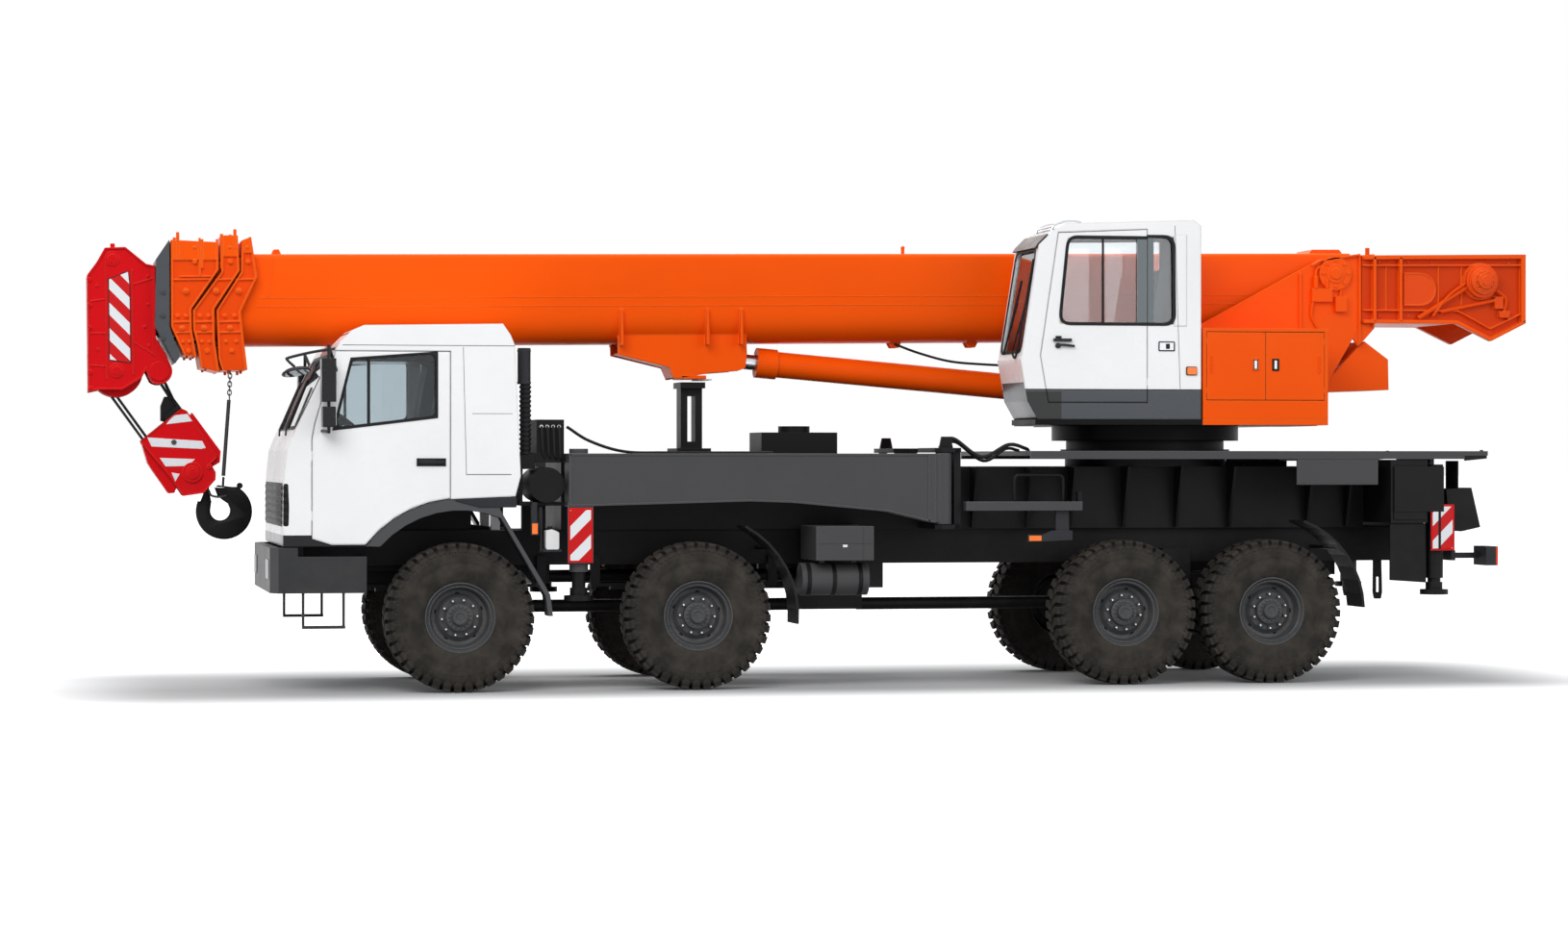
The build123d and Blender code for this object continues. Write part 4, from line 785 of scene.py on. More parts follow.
def wheels():
    """Eight wheels that share one tyre and one rim mesh, each rim turned a little further."""
    tyre, rim = tyre_mesh(), rim_mesh()
    for number in (1, 2, 3, 4):
        for name, side in SIDES:
            node, body = f"wheel_{number}_{name}", f"road_wheel_{number}_{name}"
            low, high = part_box(node)
            middle = side * (BODY_SIDE - TYRE_HALF_WIDTH) / 1000
            place = Matrix.Translation(((low.x + high.x) / 2, middle, (low.z + high.z) / 2))
            if side > 0:
                place = place @ Matrix.Rotation(math.pi, 4, "Z")
            turned = place @ Matrix.Rotation(math.radians(7 * number), 4, "Y")
            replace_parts(placed(f"tyre_{number}_{name}", tyre, body, place=place), node)
            placed(f"rim_{number}_{name}", rim, body, place=turned)


# Striped warning plates
def warning_plates():
    """Red plates with diagonal white bands on the jacks and on the boom head."""
    # Columns: which end, low and high X, low and high Z, outer face
    jacks = [("front", (-2434, -2218), (1086, 1556), 1239), ("rear", (5252, 5477), (1153, 1567), 1245)]
    for name, side in SIDES:
        for where, x, z, face in jacks:
            kit = Kit(f"{where}_plate_{name}").use("red")
            kit.block((x[0] + 4, x[1] - 4), span(side, face, face + 2.8), (z[0] + 4, z[1] - 4))
            kit.use("stripes_jack")
            kit.block((x[0] + 20, x[1] - 20), span(side, face + 2, face + 4.2), (z[0] + 22, z[1] - 22))
            kit.done(f"{where}_outrigger_{name}", "signal_red")
    outline = [(-6236, 3620), (-6064, 3688), (-6052, 3563), (-6052, 2901), (-6236, 2927)]
    for name, side in SIDES:
        kit = Kit(f"head_plate_{name}").use("stripes_head").prism(outline, *span(side, 299.5, 303.5))
        kit.use("seal").band(outline, 7, *span(side, 299.5, 304.5))
        kit.tip().done("boom_nose", "signal_red")


# Truck cab
DOOR_WINDOW = [(-4252, 2799), (-3546, 2853), (-3546, 2321), (-4397, 2218)]
CAB_SCREEN_FOOT = (-4745, 2150)
CAB_SCREEN_SLOPE = 0.4932


def truck_doors():
    """Window seals, the divider, handle pads and mirror faces on both doors."""
    outer = nearly_sharp(shrunk(DOOR_WINDOW, -14))
    inner = shrunk(rounded(DOOR_WINDOW, 60), 10)
    for name, side in SIDES:
        face = span(side, SEAL_FACE, 1254.5)
        kit = Kit(f"door_seal_{name}").use("seal").between(outer, inner, *face)
        kit.block((-4122, -4100), span(side, 1196, 1253.5), (2245, 2815))
        kit.block((-3712, -3466), face, (1905, 1972))
        kit.use("plastic").block((-3690, -3560), span(side, 1252, 1262), (1915, 1960))
        kit.use("mirror")
        for z in ((2455, 2785), (2245, 2385)):
            kit.block((-4401.5, -4398.5), span(side, 1325, 1475), z)
        kit.done(f"truck_door_{name}", "black_plastic")


def truck_cab_trim():
    """Dark strips of painted shade in the creases and gutter, wipers, step studs and the black trim below the
    sleeper panel.
    """
    face = (TRIM_FACE, 1251.2)
    # Dark strips painted as the shade in the sleeper panel's creases and along the gutter
    kit = Kit("cab_crease_shade").use("line")
    kit.plates([(-3322, 2905), (-3318, 2905), (-3292, 1838), (-3296, 1835)], *face)
    for x, z in (((-3296, -2915), (1832, 1838)), ((-4330, -2885), (2915, 2920)),
                 ((-3245, -2905), (2345, 2349))):
        kit.blocks(x, face, z)
    kit.done("carrier", "black_plastic")
    kit = Kit("cab_lower_trim").use("plastic")
    kit.plates([(-3420, 1655), (-3300, 1640), (-2870, 1650), (-2870, 1557), (-3180, 1557),
                (-3380, 1610)], 1195, 1249.6)
    kit.done("carrier", "black_plastic", 6)
    kit = Kit("screen_wipers").use("seal")
    for y in (-750, 100):
        kit.pipe([(-4775, y - 100, 2165), (-4748, y, 2255), (-4560, y + 420, 2630)], 8, 6, 4)
        kit.pipe([(-4738, y + 80, 2230), (-4540, y + 620, 2640)], 11, 6, 2)
    kit.done("carrier", "black_plastic")
    corners = rounded([(-1090, 2235), (1090, 2235), (1000, 2840), (-1000, 2840)], 70)
    kit = Kit("screen_seal").use("seal")
    kit.raked_frame(corners, CAB_SCREEN_FOOT, CAB_SCREEN_SLOPE, 18, 10, 7)
    kit.done("carrier", "black_plastic")
    kit = Kit("step_studs").use("lens_clear")
    for y in (-1200, 1200):
        for x in (-4600, -4530, -4460, -4390):
            kit.bar((x, y, 845), (x, y, 857), 14, 10)
    kit.done("carrier", "black_plastic")


def grille_and_mirror():
    """The dark slatted grille with its wrapped corners, and the bowl mirror on its bent arm."""
    kit = Kit("grille").use("seal")
    panel = rounded([(-1130, 1400), (1130, 1400), (1130, 1765), (-1130, 1765)], 60)
    kit.prism(panel, -4823.5, -4818, "X")
    corner = [(-4822.5, 1405), (-4776, 1405), (-4772, 1560), (-4780, 1760), (-4819, 1760)]
    kit.plates(rounded(corner, 20), SEAL_FACE, 1252)
    kit.use("black")
    for low in range(1418, 1709, 58):
        kit.block((-4830, -4818), (-1120, 1120), (low, low + 30))
        kit.blocks((-4821.5, -4782), (SEAL_FACE, 1256), (low, low + 30))
    kit.done("carrier", "black_plastic", 3)
    place, lean = (-4706, -1112, 2700), (-0.16, 0.22, 0.96)
    kit = Kit("bowl_mirror").use("plastic")
    kit.pipe([(-4375, -1100, 2890), (-4560, -1102, 2862), (-4765, -1106, 2812), (-4775, -1108, 2790),
              (-4716, -1110, 2735)], 12, 8, 5)
    kit.lathe(place, [(30, 0.5), (28, 40), (18, 85), (0, 116), (-12, 124), (-18, 120), (-18, 0.5)], 36, lean)
    kit.use("mirror").lathe(place, [(-18.5, 112), (-20, 0.5)], 36, lean)
    kit.done("carrier", "black_plastic")


def intake_rings():
    """Corrugations of the raised intake, its cap, and the small things behind the cab."""
    upright = (0, 0, 1)
    kit = Kit("intake_hose").use("seal")
    for z in range(2015, 2576, 40):
        kit.lathe((-2772, -1050, z), [(-14, 42), (-8, 51), (8, 51), (14, 42)], 20, upright)
    cap = [(0, 40), (0, 58.5), (18, 60), (22, 56), (270, 56), (285, 60), (304.5, 46), (304.8, 0.5)]
    kit.use("plastic").lathe((-2782, -1050, 2600), cap, 24, upright)
    kit.done("carrier", "chassis_black")
    kit = Kit("washer_bottle").use("bottle")
    bottle = [(-2615, 1200), (-2500, 1200), (-2500, 1345), (-2560, 1372), (-2615, 1360)]
    kit.prism(rounded(bottle, 20), -1190, -1060)
    kit.use("seal").bar((-2575, -1130, 1355), (-2575, -1130, 1396), 22, 14)
    kit.use("plastic").block((-2640, -2480), (-1195, -1040), (1180, 1202))
    kit.block((-2660, -2640), (-1150, -1080), (1180, 1560))
    kit.done("carrier", "chassis_black", 4)
    kit = Kit("side_markers").use("plastic")
    kit.blocks((-2745, -2680), (1195, 1222), (1322, 1432))
    kit.blocks((-2735, -2690), (1130, 1200), (1350, 1600))
    kit.plates([(1585, 1245), (1715, 1250), (1985, 1262), (1985, 1345), (1800, 1345), (1715, 1310),
                (1585, 1312)], 1180, 1212)
    kit.blocks((1840, 1960), (1150, 1190), (1330, 1530))
    kit.use("lens_amber")
    kit.blocks((-2736, -2689), (1220, 1230), (1332, 1422))
    kit.blocks((1594, 1704), (1210, 1222), (1256, 1302))
    kit.done("carrier", "lamp_lens", 3)


# Chassis
AIR_TANK = (-1010, 932)


def beam_flanges():
    """Light edge strips and end plates of the front outrigger beams."""
    low = [(-2422, 1562), (-869, 1604), (-485, 1591), (331, 1514), (741, 1418)]
    for name, side in SIDES:
        kit = Kit(f"beam_flange_{name}").use("grey")
        face = span(side, 1239.5, 1247)
        kit.block((-2418, 700), face, (1994, 2012))
        for (xa, za), (xb, zb) in zip(low, low[1:]):
            kit.prism([(xa, za), (xb, zb), (xb, zb + 18), (xa, za + 18)], *face)
        kit.block((-2420, -2402), face, (1575, 2010))
        kit.block((690, 712), face, (1430, 2010))
        kit.done(f"front_outrigger_{name}", "chassis_grey", 2)


def deck_fittings():
    """Edge strips, frame skirts, tail bins, towing eyes and step rails."""
    kit = Kit("deck_edges").use("grey")
    kit.blocks((1605, 5565), (TRIM_FACE, 1249.8), (2021, 2034))
    kit.blocks((4030, 4754), (1239.2, 1242), (1750, 1956))
    kit.done("carrier", "chassis_grey")
    kit = Kit("frame_skirts").use("black")
    kit.plates([(4892, 1398), (4892, 895), (5229, 872), (5229, 1398)], 1176, 1199)
    # Tail bins below the deck, with their hangers
    kit.plates([(5440, 1700), (5683, 1712), (5766, 1360), (5590, 1322), (5480, 1330)], 820, 1130)
    kit.blocks((5552, 5564), (830, 1120), (1700, 1950))
    kit.plates([(5572, 1950), (5572, 2005), (5780, 2005), (5780, 1970)], 1225, 1248)
    for y in (-1180, 1180):
        kit.bar((5755, y, 2020), (5755, y, 2046), 16, 14)
    # Towing eyes on the rails' ends, each of four bars round its hole
    for outline in ([(5030, 1055), (5027, 760), (5040, 702), (5055, 702), (5055, 1055)],
                    [(5085, 1055), (5085, 702), (5100, 702), (5112, 760), (5105, 1055)],
                    [(5050, 900), (5090, 900), (5090, 1055), (5050, 1055)],
                    [(5045, 702), (5095, 702), (5090, 762), (5050, 762)]):
        kit.plates(outline, 380, 415)
    kit.done("carrier", "chassis_black", 4)
    kit = Kit("step_rails").use("black")
    hoop = [(1480, 1580), (1478, 1770), (1500, 1818), (1560, 1826), (1840, 1826), (1900, 1818),
            (1916, 1770), (1915, 1580)]
    for y in (-1150, 1150):
        kit.pipe([(x, y, z) for x, z in hoop], 14, 10, 5)
    kit.blocks((2030, 2065), (1150, 1225), (1597, 1680))
    kit.done("carrier", "chassis_black")


def deck_lines():
    """Hoses that loop down to the deck, bands and lid of the tanks, and lines on the pump block."""
    kit = Kit("deck_hoses").use("seal")
    kit.pipe([(880, -860, 2060), (990, -900, 2145), (1240, -930, 1985), (1480, -940, 2090),
              (1640, -900, 2060), (1700, -800, 2036)], 16, 10, 8)
    kit.pipe([(930, -780, 2060), (1030, -840, 2115), (1270, -880, 1950), (1470, -880, 2055),
              (1600, -840, 2040)], 14, 10, 8)
    kit.pipe([(-2400, -930, 2240), (-2200, -900, 2120), (-1900, -890, 2030), (-1500, -880, 2020),
              (-600, -880, 2020)], 13, 8, 6)
    kit.done("carrier", "black_plastic")
    kit = Kit("tank_bands").use("black")
    for x in (-330, -110, 120):
        kit.lathe((x, *AIR_TANK), [(-18, 139.5), (-18, 144), (18, 144), (18, 139.5)], 32, (1, 0, 0))
    kit.use("steel").bar((194, *AIR_TANK), (206, *AIR_TANK), 22, 12)
    kit.use("line")
    kit.block((-285, 208), (-1232.5, -1229.5), (1238, 1243))
    kit.block((120, 125), (-1232.5, -1229.5), (1105, 1382))
    kit.use("steel").block((-60, -20), (-1240, -1229), (1210, 1232))
    kit.done("carrier", "chassis_grey")
    kit = Kit("pump_lines").use("seal")
    outlets = (-2640, -2590, -2540, -2490)
    for i, x in enumerate(outlets):
        kit.pipe([(x, -1082, 2240), (x, -1110, 2220), (x + 10, -1112, 2050 - 20 * i),
                  (x + 30, -1080, 1960)], 11, 8, 5)
    kit.use("steel")
    for x in outlets:
        kit.bar((x, -1078, 2240), (x, -1098, 2240), 17, 6)
    kit.use("lens_red").bar((-2620, -950, 2300), (-2620, -950, 2302), 15, 10)
    kit.done("carrier", "black_plastic")


# Operator's cab
OP_WINDOW = [(1857, 3139), (1935, 3890), (2885, 3905), (2893, 3139)]
OP_SPLIT = 2643.5
OP_SCREEN_FOOT = (1521, 2868)
OP_SCREEN_SLOPE = 0.15845


def operator_trim():
    """The long side window's gasket: left of the split on the door, right of it on the cab."""
    whole = shrunk(rounded(OP_WINDOW, 90), -14)
    rows = list(zip(whole, shrunk(whole, 28)))
    for name, body, ahead, dress in (("op_door_trim", "operator_cab_door", True, door_fittings),
                                     ("op_cab_trim", "turntable", False, cab_side_fittings)):
        kit = Kit(name).use("seal")
        run = gasket_run([(a, b) for a, b in rows if (a[0] < OP_SPLIT) == ahead], ahead)
        rings = []
        for a, b in run:
            corners = ((a, -SEAL_FACE), (a, -1255), (b, -1255), (b, -SEAL_FACE))
            rings.append([in_space(point, level) for point, level in corners])
        kit.loft(rings)
        dress(kit)
        kit.done(body, "black_plastic", 2)


def door_fittings(kit):
    """The door's half of the pillar strip, the divider, the handle and a filled window corner."""
    kit.use("pane_dark").prism([(2556, 3131), (2641, 3131), (2641, 3899), (2556, 3899)], -1251.2, -TRIM_FACE)
    kit.use("seal").block((2247, 2256), (-1252, -1210), (3145, 3885))
    kit.block((1822, 1872), (-1262, -TRIM_FACE), (2998, 3032))
    kit.use("plastic").pipe([(1826, -1262, 2946), (1880, -1276, 2955), (1985, -1274, 2944)], 11, 8, 5)
    kit.bar((1842, -TRIM_FACE, 2948), (1842, -1268, 2948), 24, 16)
    x, z = OP_WINDOW[0]
    kit.use("white").prism([(x, z), (x + 30, z), (x, z + 30)], -1250.6, -TRIM_FACE)


def cab_side_fittings(kit):
    """The cab's half of the pillar strip, a white rear post, a vent, a crease's painted shade and the side
    lamp.
    """
    kit.use("white").prism([(2889, 3120), (3008, 3120), (3008, 3925), (2889, 3925)], -1251.2, -1230)
    kit.use("pane_dark").prism([(2646, 3131), (2704, 3131), (2704, 3899), (2646, 3899)], -1251.2, -TRIM_FACE)
    kit.use("seal").block((OP_SPLIT, 2650), (-1253.5, -SEAL_FACE), (3131, 3900))
    kit.band(rounded([(2748, 2905), (2748, 2990), (2896, 2990), (2896, 2905)], 12), 10, -1256, -SEAL_FACE)
    kit.use("rail").block((2757, 2887), (-1253.5, -SEAL_FACE), (2914, 2981))
    kit.use("seal").block((2815, 2850), (-1256, -1252), (2925, 2970))
    # A dark strip painted as the shade in the crease
    kit.use("line").prism([(2896, 4000), (2900, 4000), (2947, 2569), (2943, 2569)], -1251.8, -TRIM_FACE)
    lamp = rounded([(2998, 2696), (3096, 2696), (3096, 2772), (2998, 2772)], 14)
    kit.use("seal").prism(lamp, -1260, -TRIM_FACE)
    lens_face = rounded([(3005, 2703), (3089, 2703), (3089, 2765), (3005, 2765)], 12)
    kit.use("lens_amber").prism(lens_face, -1272, -1259)


def operator_front():
    """Visor, wiper and grip in front of the cab, the roof rails and the screen's seal."""
    kit = Kit("op_front_trim").use("visor")
    kit.prism([(1640, 3795), (1664, 3832), (1752, 3918), (1760, 3908), (1676, 3822), (1654, 3790)],
              -1240, -470)
    kit.use("seal")
    kit.pipe([(1500, -700, 2880), (1515, -720, 2960), (1575, -900, 3330)], 8, 6, 5)
    kit.pipe([(1530, -800, 3080), (1600, -950, 3520)], 11, 6, 2)
    kit.pipe([(1480, -1050, 2900), (1500, -1120, 2860), (1560, -1180, 3240), (1640, -1190, 3700)], 10, 8, 5)
    kit.done("turntable", "black_plastic")
    kit = Kit("roof_rails").use("rail")
    rail = [(1812, 3938), (1842, 3990), (1930, 4030), (2020, 4036), (2078, 4026), (2100, 3995)]
    for y in (-1120, -600):
        kit.pipe([(x, y, z) for x, z in rail], 10, 8, 6)
    kit.pipe([(1842, -1120, 3990), (1842, -600, 3990)], 10, 8, 2)
    kit.done("turntable", "polished_steel")
    corners = rounded([(-1195, 2900), (-515, 2900), (-530, 3780), (-1180, 3780)], 70)
    kit = Kit("op_screen_seal").use("seal")
    kit.raked_frame(corners, OP_SCREEN_FOOT, OP_SCREEN_SLOPE, 16, 12, 6)
    kit.done("turntable", "black_plastic")


def gasket_run(rows, ahead):
    """The gasket's pairs of points in one run that starts and ends at the split."""
    for i in range(len(rows)):
        near = rows[i - 1][0][0], rows[i][0][0]
        if abs(near[0] - near[1]) > 250:
            rows = rows[i:] + rows[:i]
            break
    if ahead and (rows[0][0][1] > 3500) == (rows[-1][0][1] > 3500):
        return rows
    ends = [((OP_SPLIT, a[1]), (OP_SPLIT, b[1])) for a, b in (rows[0], rows[-1])]
    return [ends[0], *rows, ends[1]]


def machinery_fittings():
    """Door handles and hinges on the machinery cabinet."""
    # Columns: body, the door's handle X, its hinge X, its handle's finish
    for body, x, hinge, look in (("machinery_front_door", 3602, 3229, "orange"),
                                 ("machinery_rear_door", 3785, 4214, "seal")):
        kit = Kit(f"{body}_fittings").use(look)
        kit.band(rounded([(x, 2738), (x + 62, 2738), (x + 62, 2845), (x, 2845)], 8), 10, -1258, -TRIM_FACE)
        kit.use("line").block((x + 10, x + 52), (-1251.5, -TRIM_FACE), (2748, 2835))
        kit.use("rail").block((x + 20, x + 42), (-1256, -1250), (2756, 2828))
        kit.use("orange")
        for z in steps(2722, 2882, 5):
            kit.bar((hinge, -1255.5, z), (hinge, -1255.5, z + 22), 9, 10)
        kit.done(body, "black_plastic", 2)


def turntable_fittings():
    """Valve block and hoses on the side plate, the plates' ends and ribs, and the pivot's bolts."""
    kit = Kit("valve_block").use("orange")
    kit.block((4420, 4610), (-500, -449), (3380, 3500))
    kit.block((4640, 4745), (-505, -449), (3290, 3430))
    kit.bar((4455, -490, 3500), (4455, -490, 3610), 22, 12)
    kit.bar((4560, -490, 3500), (4560, -490, 3580), 18, 12)
    kit.pipe([(4455, -480, 3610), (4470, -480, 3680), (4560, -475, 3700), (4700, -470, 3600),
              (4690, -475, 3430)], 11, 8, 7)
    kit.pipe([(4430, -480, 3380), (4420, -470, 3250), (4500, -462, 3080), (4440, -460, 2900)], 12, 8, 7)
    kit.done("turntable", "crane_orange", 3)
    kit = Kit("side_plate_ends").use("orange")
    kit.plates([(4820, 3800), (5024, 3818), (5024, 3147), (4870, 2980), (4820, 3060)], 411, 449)
    for x, low, high in ((4305, 2660, 3640), (4866, 2990, 3806), (4996, 3150, 3812)):
        kit.plates([(x, low), (x + 20, low + 20), (x + 20, high), (x, high)], 446, 476)
    kit.plates([(4420, 3716), (4503, 3763), (4876, 3818), (4876, 3800), (4510, 3744), (4426, 3700)],
               446, 490)
    kit.block((5000, 5020), (-411, 411), (3200, 3800))
    kit.done("turntable", "crane_orange", 3)
    kit = Kit("plate_bolts").use("orange")
    for angle in steps(0, math.tau, 8):
        place = (BOOM_PIVOT[0] + 118 * math.cos(angle), BOOM_PIVOT[1] + 118 * math.sin(angle))
        kit.pins(place, 489, 503, 13, 6)
    kit.pins(BOOM_PIVOT, 480, 500, 85, 32).pins(BOOM_PIVOT, 500, 516, 50, 28)
    kit.done("turntable", "crane_orange")


# Boom
UPPER_AXLE = (-6200, 3790)
LOWER_AXLE = (-6175, 2840)
REAR_AXLE = (-5817, 2831)
# Front and rear edges of the collars in X and Z, from the top down
BASE_EDGES = ([(-5115, 3940), (-5122, 3670), (-5332, 3345), (-5320, 2931), (-5289, 2831)],
              [(-5034, 3970), (-4985, 3632), (-5128, 3332), (-5115, 3181), (-5078, 2836)])
SECOND_EDGES = ([(-5289, 3984), (-5289, 3670), (-5531, 3345), (-5531, 3182), (-5500, 3058), (-5469, 2858)],
                [(-5146, 3983), (-5134, 3683), (-5351, 3357), (-5351, 3081), (-5314, 2819)])
THIRD_EDGES = ([(-5710, 3945), (-5716, 3208), (-5611, 2964)],
               [(-5312, 3925), (-5312, 3690), (-5543, 3358), (-5543, 3183), (-5506, 2951)])
NOSE_EDGES = ([(-5728, 3940), (-5835, 3783), (-5851, 3209), (-5685, 2896), (-5645, 2950)],
              [(-5722, 3945), (-5728, 3208)])


def edge_x(edge, z):
    """X of a collar's edge at a height."""
    for (xa, za), (xb, zb) in zip(edge, edge[1:]):
        if zb <= z <= za:
            return xa + (xb - xa) * (za - z) / (za - zb)
    return edge[0][0] if z > edge[0][1] else edge[-1][0]


def cut_at(outline, height, keep_above):
    """The part of an outline above or below a height."""
    sign = 1 if keep_above else -1
    kept = []
    for (xa, za), (xb, zb) in zip(outline, outline[1:] + outline[:1]):
        inside, next_inside = sign * (za - height) >= 0, sign * (zb - height) >= 0
        if inside:
            kept.append((xa, za))
        if inside != next_inside:
            kept.append((xa + (xb - xa) * (height - za) / (zb - za), height))
    return kept


def tube_outline(step):
    """One boom section's outline in Y and Z: flat top, straight sides and a rounded belly."""
    half = BOOM_HALF_WIDTH - step * SECTION_STEP
    top, bottom = BOOM_TOP - step * SECTION_STEP, BOOM_BOTTOM + step * SECTION_STEP
    belly, roof = half - 60, 40
    points = []
    for centre, radius, start in (((half - roof, top - roof), roof, 0),
                                  ((-half + roof, top - roof), roof, 90),
                                  ((-half + belly, bottom + belly), belly, 180),
                                  ((half - belly, bottom + belly), belly, 270)):
        points += arc(centre, radius, start, start + 90, 7)
    return points


def section_tube(kit, step, front, rear_x):
    """A boom section's tube, its front end cut along its collar."""
    rings = []
    for wall in (0, 12):
        outline = [(y * (1 - wall / 300), z + (wall if z < 3400 else -wall)) for y, z in tube_outline(step)]
        rings.append([[(edge_x(front, z) + 30, y, z) for y, z in outline],
                      [(rear_x, y, z) for y, z in outline]])
    outer, inner = rings
    return kit.loft([outer[0], outer[1], inner[1], inner[0], outer[0]], caps=False)


def collar_frame(kit, edges, step):
    """A heavy frame round a section's front end: webs set back between two edge ribs, with cross webs."""
    front, rear = edges
    outline = front + rear[::-1]
    inside = BOOM_HALF_WIDTH - step * SECTION_STEP + 8
    # The webs set back between the ribs take a darker orange, painted shade
    kit.use("collar_orange").plates(outline, inside, COLLAR_WEB).use("orange")
    for edge, thick in ((front, COLLAR_RIB), (rear, -COLLAR_RIB)):
        inner = [(x + thick, z) for x, z in edge]
        kit.plates(edge + inner[::-1], inside, COLLAR_HALF_WIDTH)
    top = cut_at(outline, BOOM_TOP - step * SECTION_STEP + 4, True)
    foot = cut_at(outline, BOOM_BOTTOM + step * SECTION_STEP - 4, False)
    kit.prism(top, -COLLAR_HALF_WIDTH + 6, COLLAR_HALF_WIDTH - 6)
    kit.prism(foot, -COLLAR_WEB + 40, COLLAR_WEB - 40)
    for z in (3150, 3240, 3600):
        x_front, x_rear = edge_x(front, z), edge_x(rear, z)
        kit.plates([(x_front, z), (x_rear, z + 4), (x_rear, z + 16), (x_front, z + 12)], COLLAR_WEB - 4, 396)


def collar_knobs(kit, edges):
    """Bosses, bolt heads and wear pad screws on a collar's web."""
    front, rear = edges
    # Columns: height, share of the way from the front edge, radius, outer face
    for z, share, radius, outer in ((3880, 0.5, 14, 404), (3760, 0.5, 20, 402), (3510, 0.45, 26, 408),
                                    (3510, 0.45, 12, 420), (3300, 0.32, 17, 402), (3300, 0.72, 17, 402),
                                    (3195, 0.5, 24, 404), (3195, 0.5, 12, 414), (3080, 0.3, 15, 400),
                                    (3080, 0.7, 15, 400), (3000, 0.5, 20, 398)):
        x = edge_x(front, z) * (1 - share) + edge_x(rear, z) * share
        kit.pins((x, z), COLLAR_WEB - 2, outer, radius, 6 if radius < 16 else 18)


def collar_feet(kit, edges):
    """Short lugs that hang below a collar."""
    front, rear = edges
    low = min(z for x, z in front)
    for share in (0.25, 0.75):
        x = front[-1][0] * (1 - share) + rear[-1][0] * share
        kit.plates([(x - 16, low + 40), (x + 16, low + 40), (x + 10, low - 26), (x - 10, low - 26)], 250, 300)


def section_kit(name, step, rear_x, edges):
    """A boom section's tube and collar, ready for what sits on them."""
    kit = Kit(name).use("orange")
    section_tube(kit, step, [(x + 60, z) for x, z in edges[0]], rear_x)
    collar_frame(kit, edges, step)
    collar_knobs(kit, edges)
    collar_feet(kit, edges)
    return kit


def base_section():
    """The base section with its luffing bracket, pivot, hump, lugs and eyes."""
    kit = section_kit("base_section", 0, 4850, BASE_EDGES)
    # The bracket under the boom that takes the luffing cylinder
    cheek = [(-1863, 3165), (-1858, 2950), (-1407, 2837), (-1363, 2733), (-1054, 2783), (-804, 2800),
             (-730, 2826), (-713, 2950), (-720, 3165)]
    kit.plates(cheek, 200, 240)
    rib = [(200, 3030), (350, 3030), (350, 3345), (306, 3345), (306, 3270), (200, 3120)]
    for x in (-1850, -1090, -790):
        kit.prism(rib, x, x + 24, "X").prism([(-y, z) for y, z in rib], x, x + 24, "X")
    kit.block((-1300, -1080), (-240, 240), (2733, 2765))
    kit.prism([(-1840, 2958), (-1410, 2845), (-1370, 2745), (-1360, 2765), (-1395, 2862), (-1830, 2975)],
              -200, 200)
    kit.pins(BOOM_PIVOT, 305, 360, 130, 40).pin(BOOM_PIVOT, -480, 480, 69, 32)
    kit.prism([(4480, 3815), (4520, 3868), (4780, 3868), (4820, 3815)], -200, 200)
    kit.bar((756, 0, 3808), (756, 0, 3895), 16, 14).pin((756, 3895), -20, 20, 16, 14)
    for y in (60, -84):
        kit.prism([(-4850, 3818), (-4754, 3818), (-4780, 3880), (-4824, 3880)], y, y + 24)
    for x in (662, 1365):
        for y in (-70, 50):
            kit.prism([(x - 60, 3055), (x + 60, 3055), (x + 30, 3000), (x - 30, 3000)], y, y + 20)
    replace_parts(kit.tip().done("boom", "crane_orange", 4), "boom_base")


def middle_sections():
    """The second and third sections with their guide rods."""
    # Columns: name, step, rear end, collar edges, X, low and high Z of each rod
    for name, step, rear_x, edges, rods in (
            ("second_section", 1, 4300, SECOND_EDGES, ((-5283, 3700, 3996), (-5170, 3871, 4035))),
            ("third_section", 2, 4180, THIRD_EDGES, ((-5652, 3771, 4010), (-5450, 3700, 3951)))):
        kit = section_kit(name, step, rear_x, edges)
        if step == 2:
            kit.blocks((-5478, -5460), (372, 400), (3640, 3962))
            kit.blocks((-5640, -5380), (372, 396), (3628, 3640))
        for x, low, high in rods:
            for y in (-385, 385):
                kit.bar((x, y, low), (x, y, high), 14, 12)
        piece = kit.tip().done(f"boom_extension_{step + 1}", "crane_orange", 4)
        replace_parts(piece, f"boom_section_{step + 1}")


